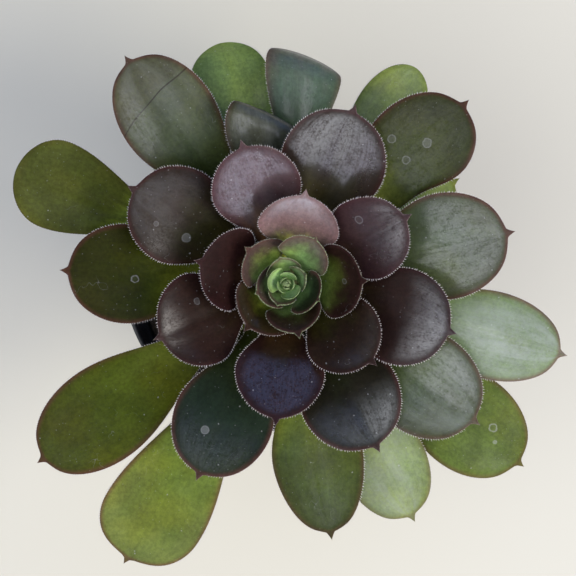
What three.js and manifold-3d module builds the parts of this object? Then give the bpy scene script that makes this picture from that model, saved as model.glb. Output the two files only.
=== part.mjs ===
// Potted aeonium: a black round nursery pot, its soil, a short leaning stem and one wide rosette.
// Millimetres, +Z up. The origin is the middle of the pot's base, on the surface it stands on.
// Every leaf has its own age, counted from the oldest and lowest leaf. The age sets its place on
// the spiral, its height on the stem and how steeply it rises, so younger leaves lie over older ones.

import * as THREE from "three";
import { mergeVertices } from "three/addons/utils/BufferGeometryUtils.js";
import Module from "manifold-3d";

const wasm = await Module();
wasm.setup();

// Driving dimensions of the pot and the soil
const POT_HEIGHT = 92;
const RIM_RADIUS = 52.5;
const BASE_RADIUS = 39;
const POT_WALL = 1.2;
const POT_FLOOR = 1.8;
const POT_EDGE = 1.5;
const COLLAR_HEIGHT = 8;
const COLLAR_STEP = 2.6;
const COLLAR_RISE = 0.8;
const LIP_WIDTH = 1.7;
const LIP_ROUND = 0.5;
const POT_SIDES = 48;
const DRAIN_HOLES = 8;
const DRAIN_RADIUS = 4.5;
const DRAIN_CIRCLE = 32;
const DRAIN_SIDES = 16;
const SOIL_TOP = 81;
const SOIL_MOUND = 2.5;
const SOIL_CRUMB = 1.4;
const SOIL_FOOT_EDGE = 2.4;
const SOIL_RINGS = 7;
const SOIL_SIDES = 36;
const SOIL_GAP = 0.45;
const GAP = 0.3;

// Driving dimensions of the stem and the rosette
const ROSETTE_FOOT = new THREE.Vector3(0.8, -2.4, 108);
const ROSETTE_LEAN = THREE.MathUtils.degToRad(4);
const GOLDEN_TURN = THREE.MathUtils.degToRad(137.508);
const FIRST_TURN = THREE.MathUtils.degToRad(59.8);
const OLDEST_TO_HEART = 44;
const HEART_AGE = 40;
const LEAF_RISE = 0.9;
const YOUNG_RISE = 0.72;
const YOUNG_AGE = 30;
const NARROWING_AGE = 18;
const LEAF_FOOT_RADIUS = 8.2;
const HEART_FOOT_RADIUS = 2;
const STEM_RADIUS = 7.4;
const STEM_BURIED = 24;
const STEM_SIDES = 18;
const STEM_STEP = 3;
const SCAR_PITCH = 3.1;
const SCAR_DEPTH = 0.5;
const SCAR_LOWEST = -26;
const CORE_RADIUS = 2.3;
const CORE_HEIGHT = 4.6;
const CORE_SIDES = 14;

// Leaves from the oldest to the youngest. reach is the tip's distance from the rosette's axis and
// half the half width, both in mm. turn is the leaf's own turn off the spiral, in degrees.
// Leaf 1 has fallen, and the pot's rim shows through the place that it left.
const leaves = [
  { age: 0, reach: 75.5, half: 10.4, turn: -1.5, mucro: 0 },
  { age: 2, reach: 95, half: 15.4, turn: -13.6 },
  { age: 3, reach: 78, half: 12.6, turn: -6.3, mucro: 0,
    bend: { at: 57, slant: 0, radius: 25, angle: 40 } },
  { age: 4, reach: 102.5, half: 16.1, turn: -7, widest: 0.84, swing: -4.4, round: 2.4 },
  { age: 5, reach: 61, half: 11, turn: 2.5 },
  { age: 6, reach: 88, half: 13.7, turn: -6.9, waist: 0.4, widest: 0.86, mucro: 0 },
  { age: 7, reach: 84.5, half: 13.2, turn: -4.6 },
  { age: 8, reach: 77, half: 11.8, turn: 5.3, mucro: 0, waist: 0.34, widest: 0.84,
    bend: { at: 60.5, slant: -0.29, radius: 6, angle: 75 } },
  { age: 9, reach: 93.5, half: 14.8, turn: -1 },
  { age: 10, reach: 87, half: 13.3, turn: -10 },
  { age: 11, reach: 82.5, half: 14.5, turn: -6.5,
    bend: { at: 58, slant: 0.25, radius: 2, angle: 9 } },
  { age: 12, reach: 79, half: 13.8, turn: 10 },
  { age: 13, reach: 75.5, half: 15.4, turn: -2.5 },
  { age: 14, reach: 67, half: 15, turn: -6.5, swing: -1.5 },
  { age: 15, reach: 71, half: 15.6, turn: 1 },
  { age: 16, reach: 59.5, half: 10.8, turn: -1, raise: 4, widest: 0.8,
    bend: { at: 46.5, slant: -0.62, radius: 3, angle: 98 } },
  { age: 17, reach: 64, half: 15, turn: 8 },
  { age: 18, reach: 67.5, half: 15.8, turn: -2 },
  { age: 19, reach: 54, half: 14.8, turn: -4 },
  { age: 20, reach: 56, half: 15.2, turn: 9 },
  { age: 21, reach: 55, half: 15.5, turn: 1.5 },
  { age: 22, reach: 42, half: 14.3, turn: -2 },
  { age: 23, reach: 50.5, half: 14.3, turn: 1.5 },
  { age: 24, reach: 43.5, half: 13.3, turn: -12.5, round: 1.8 },
  { age: 25, reach: 40.5, half: 13.4, turn: 8, round: 1.75 },
  { age: 26, reach: 41, half: 12.8, turn: -5, fold: 0.12 },
  { age: 27, reach: 27.5, half: 13.3, turn: -7 },
  { age: 28, reach: 34, half: 12.2, turn: 8.4, round: 1.9 },
  { age: 29, reach: 28, half: 12.3, turn: -9, round: 1.7 },
  { age: 30, reach: 18.5, half: 12, turn: 3 },
  { age: 31, reach: 23.5, half: 11.3, turn: 1 },
  { age: 32, reach: 16.3, half: 9.3, turn: -2 },
  { age: 33, reach: 16, half: 9.3, turn: 6 },
  { age: 34, reach: 16, half: 8.7, turn: 3, mucro: 1 },
  { age: 35, reach: 9.6, half: 8, turn: 5, mucro: 1 },
  { age: 36, reach: 10.8, half: 7.5, turn: 4, mucro: 1 },
  { age: 37, reach: 8.2, half: 6, turn: -4, mucro: 1 },
  { age: 38, reach: 6.9, half: 5, turn: 2, mucro: 1 },
  { age: 39, reach: 6.3, half: 4.5, turn: 4, mucro: 1 },
];
const MUCRO_LENGTH = 2.2;
const POINT_HALF = 1.55;

// Leaf colours from the green of the oldest leaves, through the dark middle ring, to the heart
const OLD_GREEN = new THREE.Color(0x67853c);
const RING_MAROON = new THREE.Color(0x35222c);
const HEART_GREEN = new THREE.Color(0x7f9a4c);

function smoothstep(t) {
  const c = Math.min(Math.max(t, 0), 1);
  return c * c * (3 - 2 * c);
}

function mix(a, b, t) {
  return a + (b - a) * t;
}

// What the age alone decides: the slope at the foot and at the tip, the place of the foot on the
// stem, and the thicknesses along the midrib and at the edge.
function habit(age) {
  const u = age / OLDEST_TO_HEART;
  const narrowing = Math.max(0, (age - NARROWING_AGE) / (OLDEST_TO_HEART - NARROWING_AGE));
  const young = Math.max(0, age - YOUNG_AGE);
  return {
    footSlope: THREE.MathUtils.degToRad(mix(13, 80, Math.pow(u, 1.45))),
    tipSlope: THREE.MathUtils.degToRad(mix(-9, 79, Math.pow(u, 1.75))),
    footHeight: LEAF_RISE * (age - young) + YOUNG_RISE * young,
    footRadius: mix(LEAF_FOOT_RADIUS, HEART_FOOT_RADIUS, narrowing),
    footThickness: mix(2.0, 0.95, u),
    bellyThickness: mix(2.6, 1.1, u),
    edgeThickness: mix(0.85, 0.65, u),
    claw: 0.33,
    waist: mix(0.28, 0.12, u),
    widest: mix(0.77, 0.67, u),
  };
}

// A leaf's meridian is a circular arc: the slope runs evenly from the foot to the tip.
function growLeaf(leaf) {
  const grown = { round: 2.1, swing: 0, fold: 0, raise: 0, mucro: MUCRO_LENGTH, ...habit(leaf.age), ...leaf };
  const raise = THREE.MathUtils.degToRad(grown.raise);
  grown.footSlope += raise;
  grown.tipSlope += raise;
  const spread = grown.tipSlope - grown.footSlope;
  const run = (Math.sin(grown.tipSlope) - Math.sin(grown.footSlope)) / spread;
  grown.length = leaf.length ?? (grown.reach - grown.footRadius) / run;
  grown.azimuth = FIRST_TURN + GOLDEN_TURN * leaf.age + THREE.MathUtils.degToRad(leaf.turn);
  grown.bodyEnd = 1 - grown.mucro / grown.length;
  return grown;
}

// Half width: a narrow claw swells to the widest place and closes in a rounded cap, which sweeps out
// into a point. mucro is the length of that point; a leaf without one is round at its end.
function halfWidth(leaf, s) {
  const t = s / leaf.bodyEnd;
  const swell = leaf.claw + (1 - leaf.claw) * smoothstep((t - leaf.waist) / (leaf.widest - leaf.waist));
  const c = Math.min(Math.max((t - leaf.widest) / (1 - leaf.widest), 0), 1);
  const cap = leaf.half * swell * Math.sqrt(Math.max(0, 1 - Math.pow(c, leaf.round)));
  if (!leaf.mucro) {
    return cap;
  }
  const before = Math.max(0, leaf.bodyEnd - s) * leaf.length;
  const fromTip = (1 - s) * leaf.length;
  const body = cap * (1 - Math.exp(-before / (0.3 * leaf.mucro)));
  const spike = POINT_HALF * (0.35 + 0.3 * leaf.mucro) * Math.pow(fromTip / leaf.mucro, 1.3);
  const fading = spike * Math.exp(-before / (1.2 * leaf.mucro));
  return Math.cbrt(body ** 3 + fading ** 3);
}

// Past a straight line across the leaf the blade turns down on an arc and then runs on straight.
function bendOffset(leaf, radius, slope, across) {
  const { at, slant, radius: bendRadius, angle } = leaf.bend;
  const skew = Math.atan(slant);
  const full = THREE.MathUtils.degToRad(angle);
  const past = Math.max(0, ((radius - at) / Math.cos(slope) + slant * across) * Math.cos(skew));
  const arc = Math.min(past / bendRadius, full);
  const rest = Math.max(0, past - bendRadius * full);
  const forward = bendRadius * Math.sin(arc) + rest * Math.cos(full) - past;
  const down = bendRadius * (1 - Math.cos(arc)) + rest * Math.sin(full);
  return { along: forward * Math.cos(skew), across: forward * Math.sin(skew), down };
}

// The blade's middle surface: s runs from foot to tip, across is the distance from the midrib.
// The blade is a patch of the surface that the meridian sweeps about the rosette's axis.
function bladePoint(leaf, s, across) {
  const spread = leaf.tipSlope - leaf.footSlope;
  const slope = leaf.footSlope + spread * s;
  const pace = leaf.length / spread;
  const radius = leaf.footRadius + pace * (Math.sin(slope) - Math.sin(leaf.footSlope));
  const height = leaf.footHeight - pace * (Math.cos(slope) - Math.cos(leaf.footSlope));
  let along = 0;
  let side = across;
  let lift = leaf.fold * (Math.hypot(across, 1) - 1) * smoothstep(s);
  if (leaf.bend) {
    const bent = bendOffset(leaf, radius, slope, across);
    along = bent.along;
    side = across + bent.across;
    lift -= bent.down;
  }
  const turn = leaf.azimuth + (side + leaf.swing * s * s) / radius;
  const out = radius + along * Math.cos(slope) - lift * Math.sin(slope);
  const up = height + along * Math.sin(slope) + lift * Math.cos(slope);
  return new THREE.Vector3(out * Math.cos(turn), out * Math.sin(turn), up);
}

function bladeNormal(leaf, s, across) {
  const step = 0.004;
  const before = Math.max(s - step, 0);
  const after = Math.min(s + step, 1);
  const along = bladePoint(leaf, after, across).sub(bladePoint(leaf, before, across));
  const side = bladePoint(leaf, s, across + 0.1).sub(bladePoint(leaf, s, across - 0.1));
  return along.cross(side).normalize();
}

// Half thickness: thick along the midrib, thin at the edges and towards the tip.
function halfThickness(leaf, s, v) {
  const belly = leaf.bellyThickness - leaf.footThickness;
  const tip = leaf.edgeThickness * 1.2;
  const middle = mix(leaf.footThickness, tip, s) + 4 * belly * s * (1 - s);
  return 0.5 * mix(middle, leaf.edgeThickness, v * v);
}

// One closed blade: the same grid on its upper and under face, a rim of quads between them, and one
// point for each face at the tip. Both faces are split along the same diagonals.
function bladeGeometry(leaf, rows, columns) {
  const points = [];
  const put = (s, v, face) => {
    const across = halfWidth(leaf, s) * v;
    const normal = bladeNormal(leaf, s, across);
    points.push(bladePoint(leaf, s, across).addScaledVector(normal, face * halfThickness(leaf, s, v)));
    return points.length - 1;
  };
  const grid = [1, -1].map((face) => {
    const lines = [];
    for (let i = 0; i < rows; i++) {
      const s = leaf.bodyEnd * 0.999 * (1 - Math.pow(1 - i / (rows - 1), 1.5));
      const line = [];
      for (let j = 0; j <= columns; j++) {
        line.push(put(s, (2 * j) / columns - 1, face));
      }
      lines.push(line);
    }
    return { lines, tip: put(1, 0, face) };
  });
  const faces = [];
  const add = (a, b, c) => faces.push(a, b, c);
  grid.forEach(({ lines, tip }, side) => {
    const turn = side === 0 ? (a, b, c) => add(a, b, c) : (a, b, c) => add(a, c, b);
    for (let i = 0; i + 1 < rows; i++) {
      for (let j = 0; j < columns; j++) {
        turn(lines[i][j], lines[i + 1][j], lines[i + 1][j + 1]);
        turn(lines[i][j], lines[i + 1][j + 1], lines[i][j + 1]);
      }
    }
    for (let j = 0; j < columns; j++) {
      turn(lines[rows - 1][j], tip, lines[rows - 1][j + 1]);
    }
  });
  const [upper, under] = grid;
  const rimOf = ({ lines, tip }) => [
    ...lines.map((line) => line[0]),
    tip,
    ...lines.map((line) => line[columns]).reverse(),
    ...lines[0].slice(1, columns).reverse(),
  ];
  const top = rimOf(upper);
  const bottom = rimOf(under);
  top.forEach((corner, i) => {
    const next = (i + 1) % top.length;
    add(corner, bottom[i], bottom[next]);
    add(corner, bottom[next], top[next]);
  });
  return solidGeometry(points, faces);
}

// Rows of points along a blade: more on a bent one, fewer on a small young one
const BLADE_COLUMNS = 6;

function bladeRows(leaf) {
  if (leaf.bend) {
    return 15;
  }
  return leaf.age > 33 ? 8 : leaf.age > 21 ? 10 : 12;
}

function solidGeometry(points, faces) {
  const geometry = new THREE.BufferGeometry();
  const numbers = points.flatMap((point) => [point.x, point.y, point.z]);
  geometry.setAttribute("position", new THREE.Float32BufferAttribute(numbers, 3));
  geometry.setIndex(faces);
  return geometry;
}

// Solids for joining and cutting
function toSolid(geometry) {
  const bare = geometry.clone();
  bare.deleteAttribute("normal");
  bare.deleteAttribute("uv");
  const merged = mergeVertices(bare, 1e-4);
  return new wasm.Manifold(new wasm.Mesh({
    numProp: 3,
    vertProperties: new Float32Array(merged.attributes.position.array),
    triVerts: new Uint32Array(merged.index.array),
  }));
}

function fromSolid(solid) {
  const mesh = solid.getMesh();
  const geometry = new THREE.BufferGeometry();
  geometry.setAttribute("position", new THREE.BufferAttribute(new Float32Array(mesh.vertProperties), 3));
  geometry.setIndex(new THREE.BufferAttribute(new Uint32Array(mesh.triVerts), 1));
  return geometry;
}

// A profile of [radius, height] pairs turned about Z
function turned(profile, sides) {
  const lathe = new THREE.LatheGeometry(profile.map(([r, z]) => new THREE.Vector2(r, z)), sides);
  return lathe.rotateX(Math.PI / 2);
}

// A tube of rings about Z, closed at both ends. A ring is [radius, height], and ripple gives how far a
// point of it moves outwards and upwards.
function column(rings, sides, ripple) {
  const points = [];
  const faces = [];
  rings.forEach(([radius, height], ring) => {
    for (let j = 0; j < sides; j++) {
      const angle = (2 * Math.PI * j) / sides;
      const [outwards, upwards] = ripple(angle, radius, height, ring);
      const r = radius + outwards;
      points.push(new THREE.Vector3(r * Math.cos(angle), r * Math.sin(angle), height + upwards));
    }
  });
  const last = (rings.length - 1) * sides;
  const foot = points.push(new THREE.Vector3(0, 0, rings[0][1])) - 1;
  const head = points.push(new THREE.Vector3(0, 0, rings[rings.length - 1][1])) - 1;
  for (let j = 0; j < sides; j++) {
    const k = (j + 1) % sides;
    for (let i = 0; i < last; i += sides) {
      faces.push(i + j, i + k, i + sides + k, i + j, i + sides + k, i + sides + j);
    }
    faces.push(foot, k, j, head, last + j, last + k);
  }
  return solidGeometry(points, faces);
}

// The pot: a tapered cup with a collar round its mouth and drain holes through its floor
const COLLAR_FOOT = POT_HEIGHT - COLLAR_HEIGHT;

function wallRadius(z) {
  return mix(BASE_RADIUS, RIM_RADIUS - COLLAR_STEP, z / COLLAR_FOOT);
}

function potGeometry() {
  const inner = (z) => wallRadius(z) - POT_WALL;
  const lipInside = RIM_RADIUS - LIP_WIDTH;
  const profile = [
    [0, 0],
    [BASE_RADIUS - POT_EDGE, 0],
    [wallRadius(POT_EDGE), POT_EDGE],
    [wallRadius(COLLAR_FOOT - COLLAR_RISE), COLLAR_FOOT - COLLAR_RISE],
    [RIM_RADIUS - COLLAR_RISE, COLLAR_FOOT],
    [RIM_RADIUS, POT_HEIGHT - LIP_ROUND],
    [RIM_RADIUS - LIP_ROUND, POT_HEIGHT],
    [lipInside + LIP_ROUND, POT_HEIGHT],
    [lipInside, POT_HEIGHT - LIP_ROUND],
    [lipInside - LIP_ROUND, COLLAR_FOOT + POT_WALL],
    [inner(COLLAR_FOOT - LIP_ROUND), COLLAR_FOOT - LIP_ROUND],
    [inner(POT_FLOOR + POT_EDGE), POT_FLOOR + POT_EDGE],
    [inner(POT_FLOOR) - POT_EDGE, POT_FLOOR],
    [0, POT_FLOOR],
  ];
  let pot = toSolid(turned(profile, POT_SIDES));
  const drillLength = 3 * POT_FLOOR;
  for (let i = 0; i < DRAIN_HOLES; i++) {
    const angle = (2 * Math.PI * (i + 0.5)) / DRAIN_HOLES;
    const drill = new THREE.CylinderGeometry(DRAIN_RADIUS, DRAIN_RADIUS, drillLength, DRAIN_SIDES);
    drill.rotateX(Math.PI / 2);
    drill.translate(DRAIN_CIRCLE * Math.cos(angle), DRAIN_CIRCLE * Math.sin(angle), POT_FLOOR / 2);
    pot = pot.subtract(toSolid(drill));
  }
  return fromSolid(pot);
}

// The soil: a filling a little clear of the pot, crumbled and mounded on top round the stem
function crumb(angle, radius) {
  const ripple = Math.sin(angle * 7 + radius * 0.9) + Math.sin(angle * 4 - radius * 1.7 + 2);
  return SOIL_CRUMB * 0.5 * ripple * Math.cos(angle * 11 + radius * 0.5);
}

function soilGeometry(stemHole) {
  const foot = POT_FLOOR + GAP;
  const side = (z) => wallRadius(z) - POT_WALL - SOIL_GAP;
  const rings = [
    [side(foot) - SOIL_FOOT_EDGE, foot],
    [side(foot + SOIL_FOOT_EDGE), foot + SOIL_FOOT_EDGE],
    [side(SOIL_TOP), SOIL_TOP],
  ];
  const plain = rings.length;
  for (let i = 1; i < SOIL_RINGS; i++) {
    const share = 1 - i / SOIL_RINGS;
    rings.push([side(SOIL_TOP) * share, SOIL_TOP + SOIL_MOUND * (1 - share * share)]);
  }
  const ripple = (angle, radius, height, ring) => [0, ring < plain ? 0 : crumb(angle, radius)];
  return fromSolid(toSolid(column(rings, SOIL_SIDES, ripple)).subtract(toSolid(stemHole)));
}

// The stem, in the rosette's own frame: plain in the soil, ringed with old leaf scars above it, and
// narrowing inside the rosette so that every leaf's foot stands just clear of it.
const STEM_FOOT = SOIL_TOP - STEM_BURIED - ROSETTE_FOOT.z;
const STEM_TOP = habit(HEART_AGE).footHeight - GAP;

function ageAtHeight(z) {
  const bend = LEAF_RISE * YOUNG_AGE;
  return z < bend ? z / LEAF_RISE : YOUNG_AGE + (z - bend) / YOUNG_RISE;
}

function stemRadius(z) {
  const own = habit(Math.min(Math.max(ageAtHeight(z), 0), HEART_AGE));
  const clear = own.footRadius - 0.5 * own.footThickness * Math.sin(own.footSlope) - GAP;
  return Math.min(STEM_RADIUS, clear);
}

function scar(angle, radius, z) {
  const bare = smoothstep((z - SCAR_LOWEST) / (2 * SCAR_PITCH)) * smoothstep(-z / SCAR_PITCH);
  const ring = 0.5 + 0.5 * Math.cos((2 * Math.PI * z) / SCAR_PITCH + angle);
  return [-SCAR_DEPTH * bare * ring, 0];
}

function stemGeometry() {
  const levels = [STEM_FOOT, mix(STEM_FOOT, SCAR_LOWEST, 0.65)];
  for (let z = SCAR_LOWEST; z < 0; z += SCAR_PITCH / 2) {
    levels.push(z);
  }
  for (let z = 0; z < STEM_TOP; z += STEM_STEP) {
    levels.push(z);
  }
  levels.push(STEM_TOP);
  const rings = levels.map((z) => [stemRadius(z), z]);
  return column(rings, STEM_SIDES, scar);
}

function stemHoleGeometry() {
  const length = 2 * STEM_BURIED;
  const radius = (STEM_RADIUS + GAP) / Math.cos(Math.PI / STEM_SIDES);
  const hole = new THREE.CylinderGeometry(radius, radius, length, STEM_SIDES).rotateX(Math.PI / 2);
  hole.translate(0, 0, STEM_FOOT - GAP + length / 2);
  return hole.rotateX(ROSETTE_LEAN).translate(ROSETTE_FOOT.x, ROSETTE_FOOT.y, ROSETTE_FOOT.z);
}

// The heart: the youngest leaves, closed in a bud round a small core that they all grow from. Each is
// smaller than the one before it and leans further in.
const HEART_LEAVES = 8;
const HEART_SHRINK = 0.82;

function heartLeaf(index) {
  const size = Math.pow(HEART_SHRINK, index);
  return growLeaf({
    age: HEART_AGE + index,
    length: 1.6 + 7 * size,
    half: 4.3 * size,
    turn: 0,
    claw: 0.7,
    mucro: 0.1 + 0.5 * size,
    footSlope: THREE.MathUtils.degToRad(48 + 2 * index),
    tipSlope: THREE.MathUtils.degToRad(82 + 4 * index),
    footRadius: 0.25 + 1.7 * size,
    footHeight: habit(HEART_AGE).footHeight + 0.6 + 0.22 * index,
    footThickness: 0.8,
    bellyThickness: 0.8,
    edgeThickness: 0.6,
  });
}

function heartGeometry() {
  const foot = habit(HEART_AGE).footHeight;
  const core = [
    [0, foot],
    [CORE_RADIUS, foot],
    [CORE_RADIUS, foot + 0.45 * CORE_HEIGHT],
    [0.7 * CORE_RADIUS, foot + 0.8 * CORE_HEIGHT],
    [0, foot + CORE_HEIGHT],
  ];
  let heart = toSolid(turned(core, CORE_SIDES));
  for (let i = 0; i < HEART_LEAVES; i++) {
    heart = heart.add(toSolid(bladeGeometry(heartLeaf(i), 6, 4)));
  }
  return fromSolid(heart);
}

function leafColour(age) {
  const ring = smoothstep((age - 9) / 10);
  const heart = smoothstep((age - 28) / 12);
  return OLD_GREEN.clone().lerp(RING_MAROON, ring).lerp(HEART_GREEN, heart);
}

function piece(name, geometry, color, roughness) {
  const mesh = new THREE.Mesh(geometry, new THREE.MeshStandardMaterial({ color, roughness, metalness: 0 }));
  mesh.name = name;
  return mesh;
}

const aeonium = new THREE.Group();
aeonium.add(piece("pot", potGeometry(), 0x17181a, 0.5));
aeonium.add(piece("soil", soilGeometry(stemHoleGeometry()), 0x2f231a, 0.95));

const rosette = new THREE.Group();
rosette.position.copy(ROSETTE_FOOT);
rosette.rotation.x = ROSETTE_LEAN;
aeonium.add(rosette);
rosette.add(piece("stem", stemGeometry(), 0x6b5842, 0.85));
rosette.add(piece("heart", heartGeometry(), HEART_GREEN, 0.55));
leaves.forEach((leaf) => {
  const name = `leaf_${String(leaf.age).padStart(2, "0")}`;
  const blade = bladeGeometry(growLeaf(leaf), bladeRows(leaf), BLADE_COLUMNS);
  rosette.add(piece(name, blade, leafColour(leaf.age), 0.5));
});

export default aeonium;
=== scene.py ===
import math
from collections import namedtuple

import bpy
import numpy as np
from bpy.props import FloatProperty, FloatVectorProperty, IntProperty, PointerProperty
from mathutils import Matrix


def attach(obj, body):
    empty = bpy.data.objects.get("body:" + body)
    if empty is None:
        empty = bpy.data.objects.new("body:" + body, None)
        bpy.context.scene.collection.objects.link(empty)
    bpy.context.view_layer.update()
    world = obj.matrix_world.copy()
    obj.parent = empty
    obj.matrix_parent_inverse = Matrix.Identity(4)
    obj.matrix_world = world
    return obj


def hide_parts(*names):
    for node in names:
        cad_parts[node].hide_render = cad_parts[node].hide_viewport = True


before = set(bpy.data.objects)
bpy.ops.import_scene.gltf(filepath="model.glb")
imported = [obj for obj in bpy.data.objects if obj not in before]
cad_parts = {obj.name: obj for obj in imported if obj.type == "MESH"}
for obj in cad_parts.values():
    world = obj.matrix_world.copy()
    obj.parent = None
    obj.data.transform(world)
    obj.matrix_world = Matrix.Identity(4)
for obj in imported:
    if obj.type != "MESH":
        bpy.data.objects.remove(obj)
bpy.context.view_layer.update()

bl_info = {
    "name": "Potted Aeonium",
    "version": (1, 0, 0),
    "blender": (4, 5, 0),
    "location": "View3D > Sidebar > Aeonium",
    "description": "A succulent rosette with waxy, lashed leaves in a black nursery pot",
    "category": "Object",
}

MM = 0.001
SEED = 41

# The spiral and the rosette's frame, in millimetres and radians
GOLDEN_TURN = math.radians(137.508)
FIRST_TURN = math.radians(59.8)
ROSETTE_FOOT = np.array([0.8, -2.4, 108.0])
ROSETTE_LEAN = math.radians(4.0)
OLDEST_TO_HEART = 44
HEART_AGE = 40
YOUNG_AGE = 30
NARROWING_AGE = 18
LEAF_RISE = 0.9
YOUNG_RISE = 0.72
LEAF_FOOT_RADIUS = 8.2
HEART_FOOT_RADIUS = 2.0
CORE_RADIUS = 2.3
CORE_HEIGHT = 4.07
MUCRO_LENGTH = 2.2
CLAW_SHARE = 0.33
LEAST_GAP = 0.3
POINT_HALF = 1.05
LASH_HALF = 0.155
FALLEN_AGE = 1

# What changes evenly from the oldest leaf to the heart: slopes in degrees with the powers that hold them
# back, and thicknesses in millimetres
FOOT_SLOPES = (13, 80)
FOOT_POWER = 1.45
TIP_SLOPES = (-9, 79)
TIP_POWER = 1.75
FOOT_THICKNESSES = (2.0, 0.95)
BELLY_THICKNESSES = (2.6, 1.1)
EDGE_THICKNESSES = (0.5, 0.22)

# The ages at which the dark middle leaves and the pale young leaves start
DARK_AGE = 15
PALE_AGE = 32

# Where along a tucked leaf its margin draws in, and over how much of its length
TUCK_PLACE = 0.57
TUCK_SPREAD = 0.18

# Unevenness of a blade as shares of its half width: at the margins, over its belly, and in its ribs
EDGE_WAVE = 0.026
BELLY_WAVE = 0.028
RIB_WAVE = 0.0030

# Leaves from the oldest to the youngest. reach is the tip's distance from the rosette's axis and
# half the half width, in millimetres; turn is the leaf's own turn off the spiral, in degrees. The other
# entries depart from what the age decides: mucro is the length of the point, waist and widest are where the
# blade starts to swell and is widest, and round is how full its end is. swing and tuck bend it sideways and
# draw a margin in, and lift and fold tilt it and fold it up. bend is where it turns down: the distance from
# the axis, the slant of the line, the radius of the turn and its angle in degrees.
LEAVES = [
    dict(age=0, reach=75.5, half=10.4, turn=-1.5, mucro=0),
    dict(age=2, reach=95, half=15.4, turn=-13.6),
    dict(age=3, reach=78, half=12.6, turn=-6.3, mucro=0, bend=(57, 0, 25, 40)),
    dict(age=4, reach=102.5, half=16.1, turn=-7, widest=0.84, swing=-4.4, round=2.4),
    dict(age=5, reach=61, half=11, turn=2.5),
    dict(age=6, reach=88, half=13.7, turn=-6.9, waist=0.4, widest=0.86, mucro=0),
    dict(age=7, reach=84.5, half=13.2, turn=-4.6),
    dict(age=8, reach=77, half=11.8, turn=5.3, mucro=0, waist=0.34, widest=0.84, bend=(60.5, -0.29, 6, 75)),
    dict(age=9, reach=93.5, half=14.8, turn=-1),
    dict(age=10, reach=87, half=13.3, turn=-10),
    dict(age=11, reach=82.5, half=14.5, turn=-6.5, bend=(58, 0.25, 2, 9)),
    dict(age=12, reach=79, half=13.8, turn=10, widest=0.70, round=1.8),
    dict(age=13, reach=75.5, half=15.4, turn=-2.5, tuck=0.30),
    dict(age=14, reach=67, half=15, turn=-6.5, swing=-1.5),
    dict(age=15, reach=71, half=15.6, turn=1),
    dict(age=16, reach=59.5, half=10.8, turn=-1, lift=4, widest=0.8, bend=(46.5, -0.62, 3, 98)),
    dict(age=17, reach=64, half=15, turn=8),
    dict(age=18, reach=67.5, half=15.8, turn=-2),
    dict(age=19, reach=54, half=14.8, turn=-4),
    dict(age=20, reach=56, half=15.2, turn=9),
    dict(age=21, reach=55, half=15.5, turn=1.5),
    dict(age=22, reach=42, half=14.3, turn=-2),
    dict(age=23, reach=50.5, half=14.3, turn=1.5),
    dict(age=24, reach=43.5, half=13.3, turn=-12.5, round=1.8),
    dict(age=25, reach=40.5, half=13.4, turn=8, round=1.75),
    dict(age=26, reach=41, half=12.8, turn=-5, fold=0.12),
    dict(age=27, reach=27.5, half=13.3, turn=-7),
    dict(age=28, reach=34, half=12.2, turn=8.4, round=1.9),
    dict(age=29, reach=28, half=12.3, turn=-9, round=1.7),
    dict(age=30, reach=18.5, half=12, turn=3),
    dict(age=31, reach=23.5, half=11.3, turn=1),
    dict(age=32, reach=16.3, half=9.3, turn=-2),
    dict(age=33, reach=16, half=9.3, turn=6),
    dict(age=34, reach=16, half=8.7, turn=3, mucro=1),
    dict(age=35, reach=9.6, half=8, turn=5, mucro=1),
    dict(age=36, reach=10.8, half=7.5, turn=4, mucro=1),
    dict(age=37, reach=8.2, half=6, turn=-4, mucro=1),
    dict(age=38, reach=6.9, half=5, turn=2, mucro=1),
    dict(age=39, reach=6.3, half=4.5, turn=4, mucro=1),
]

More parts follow.
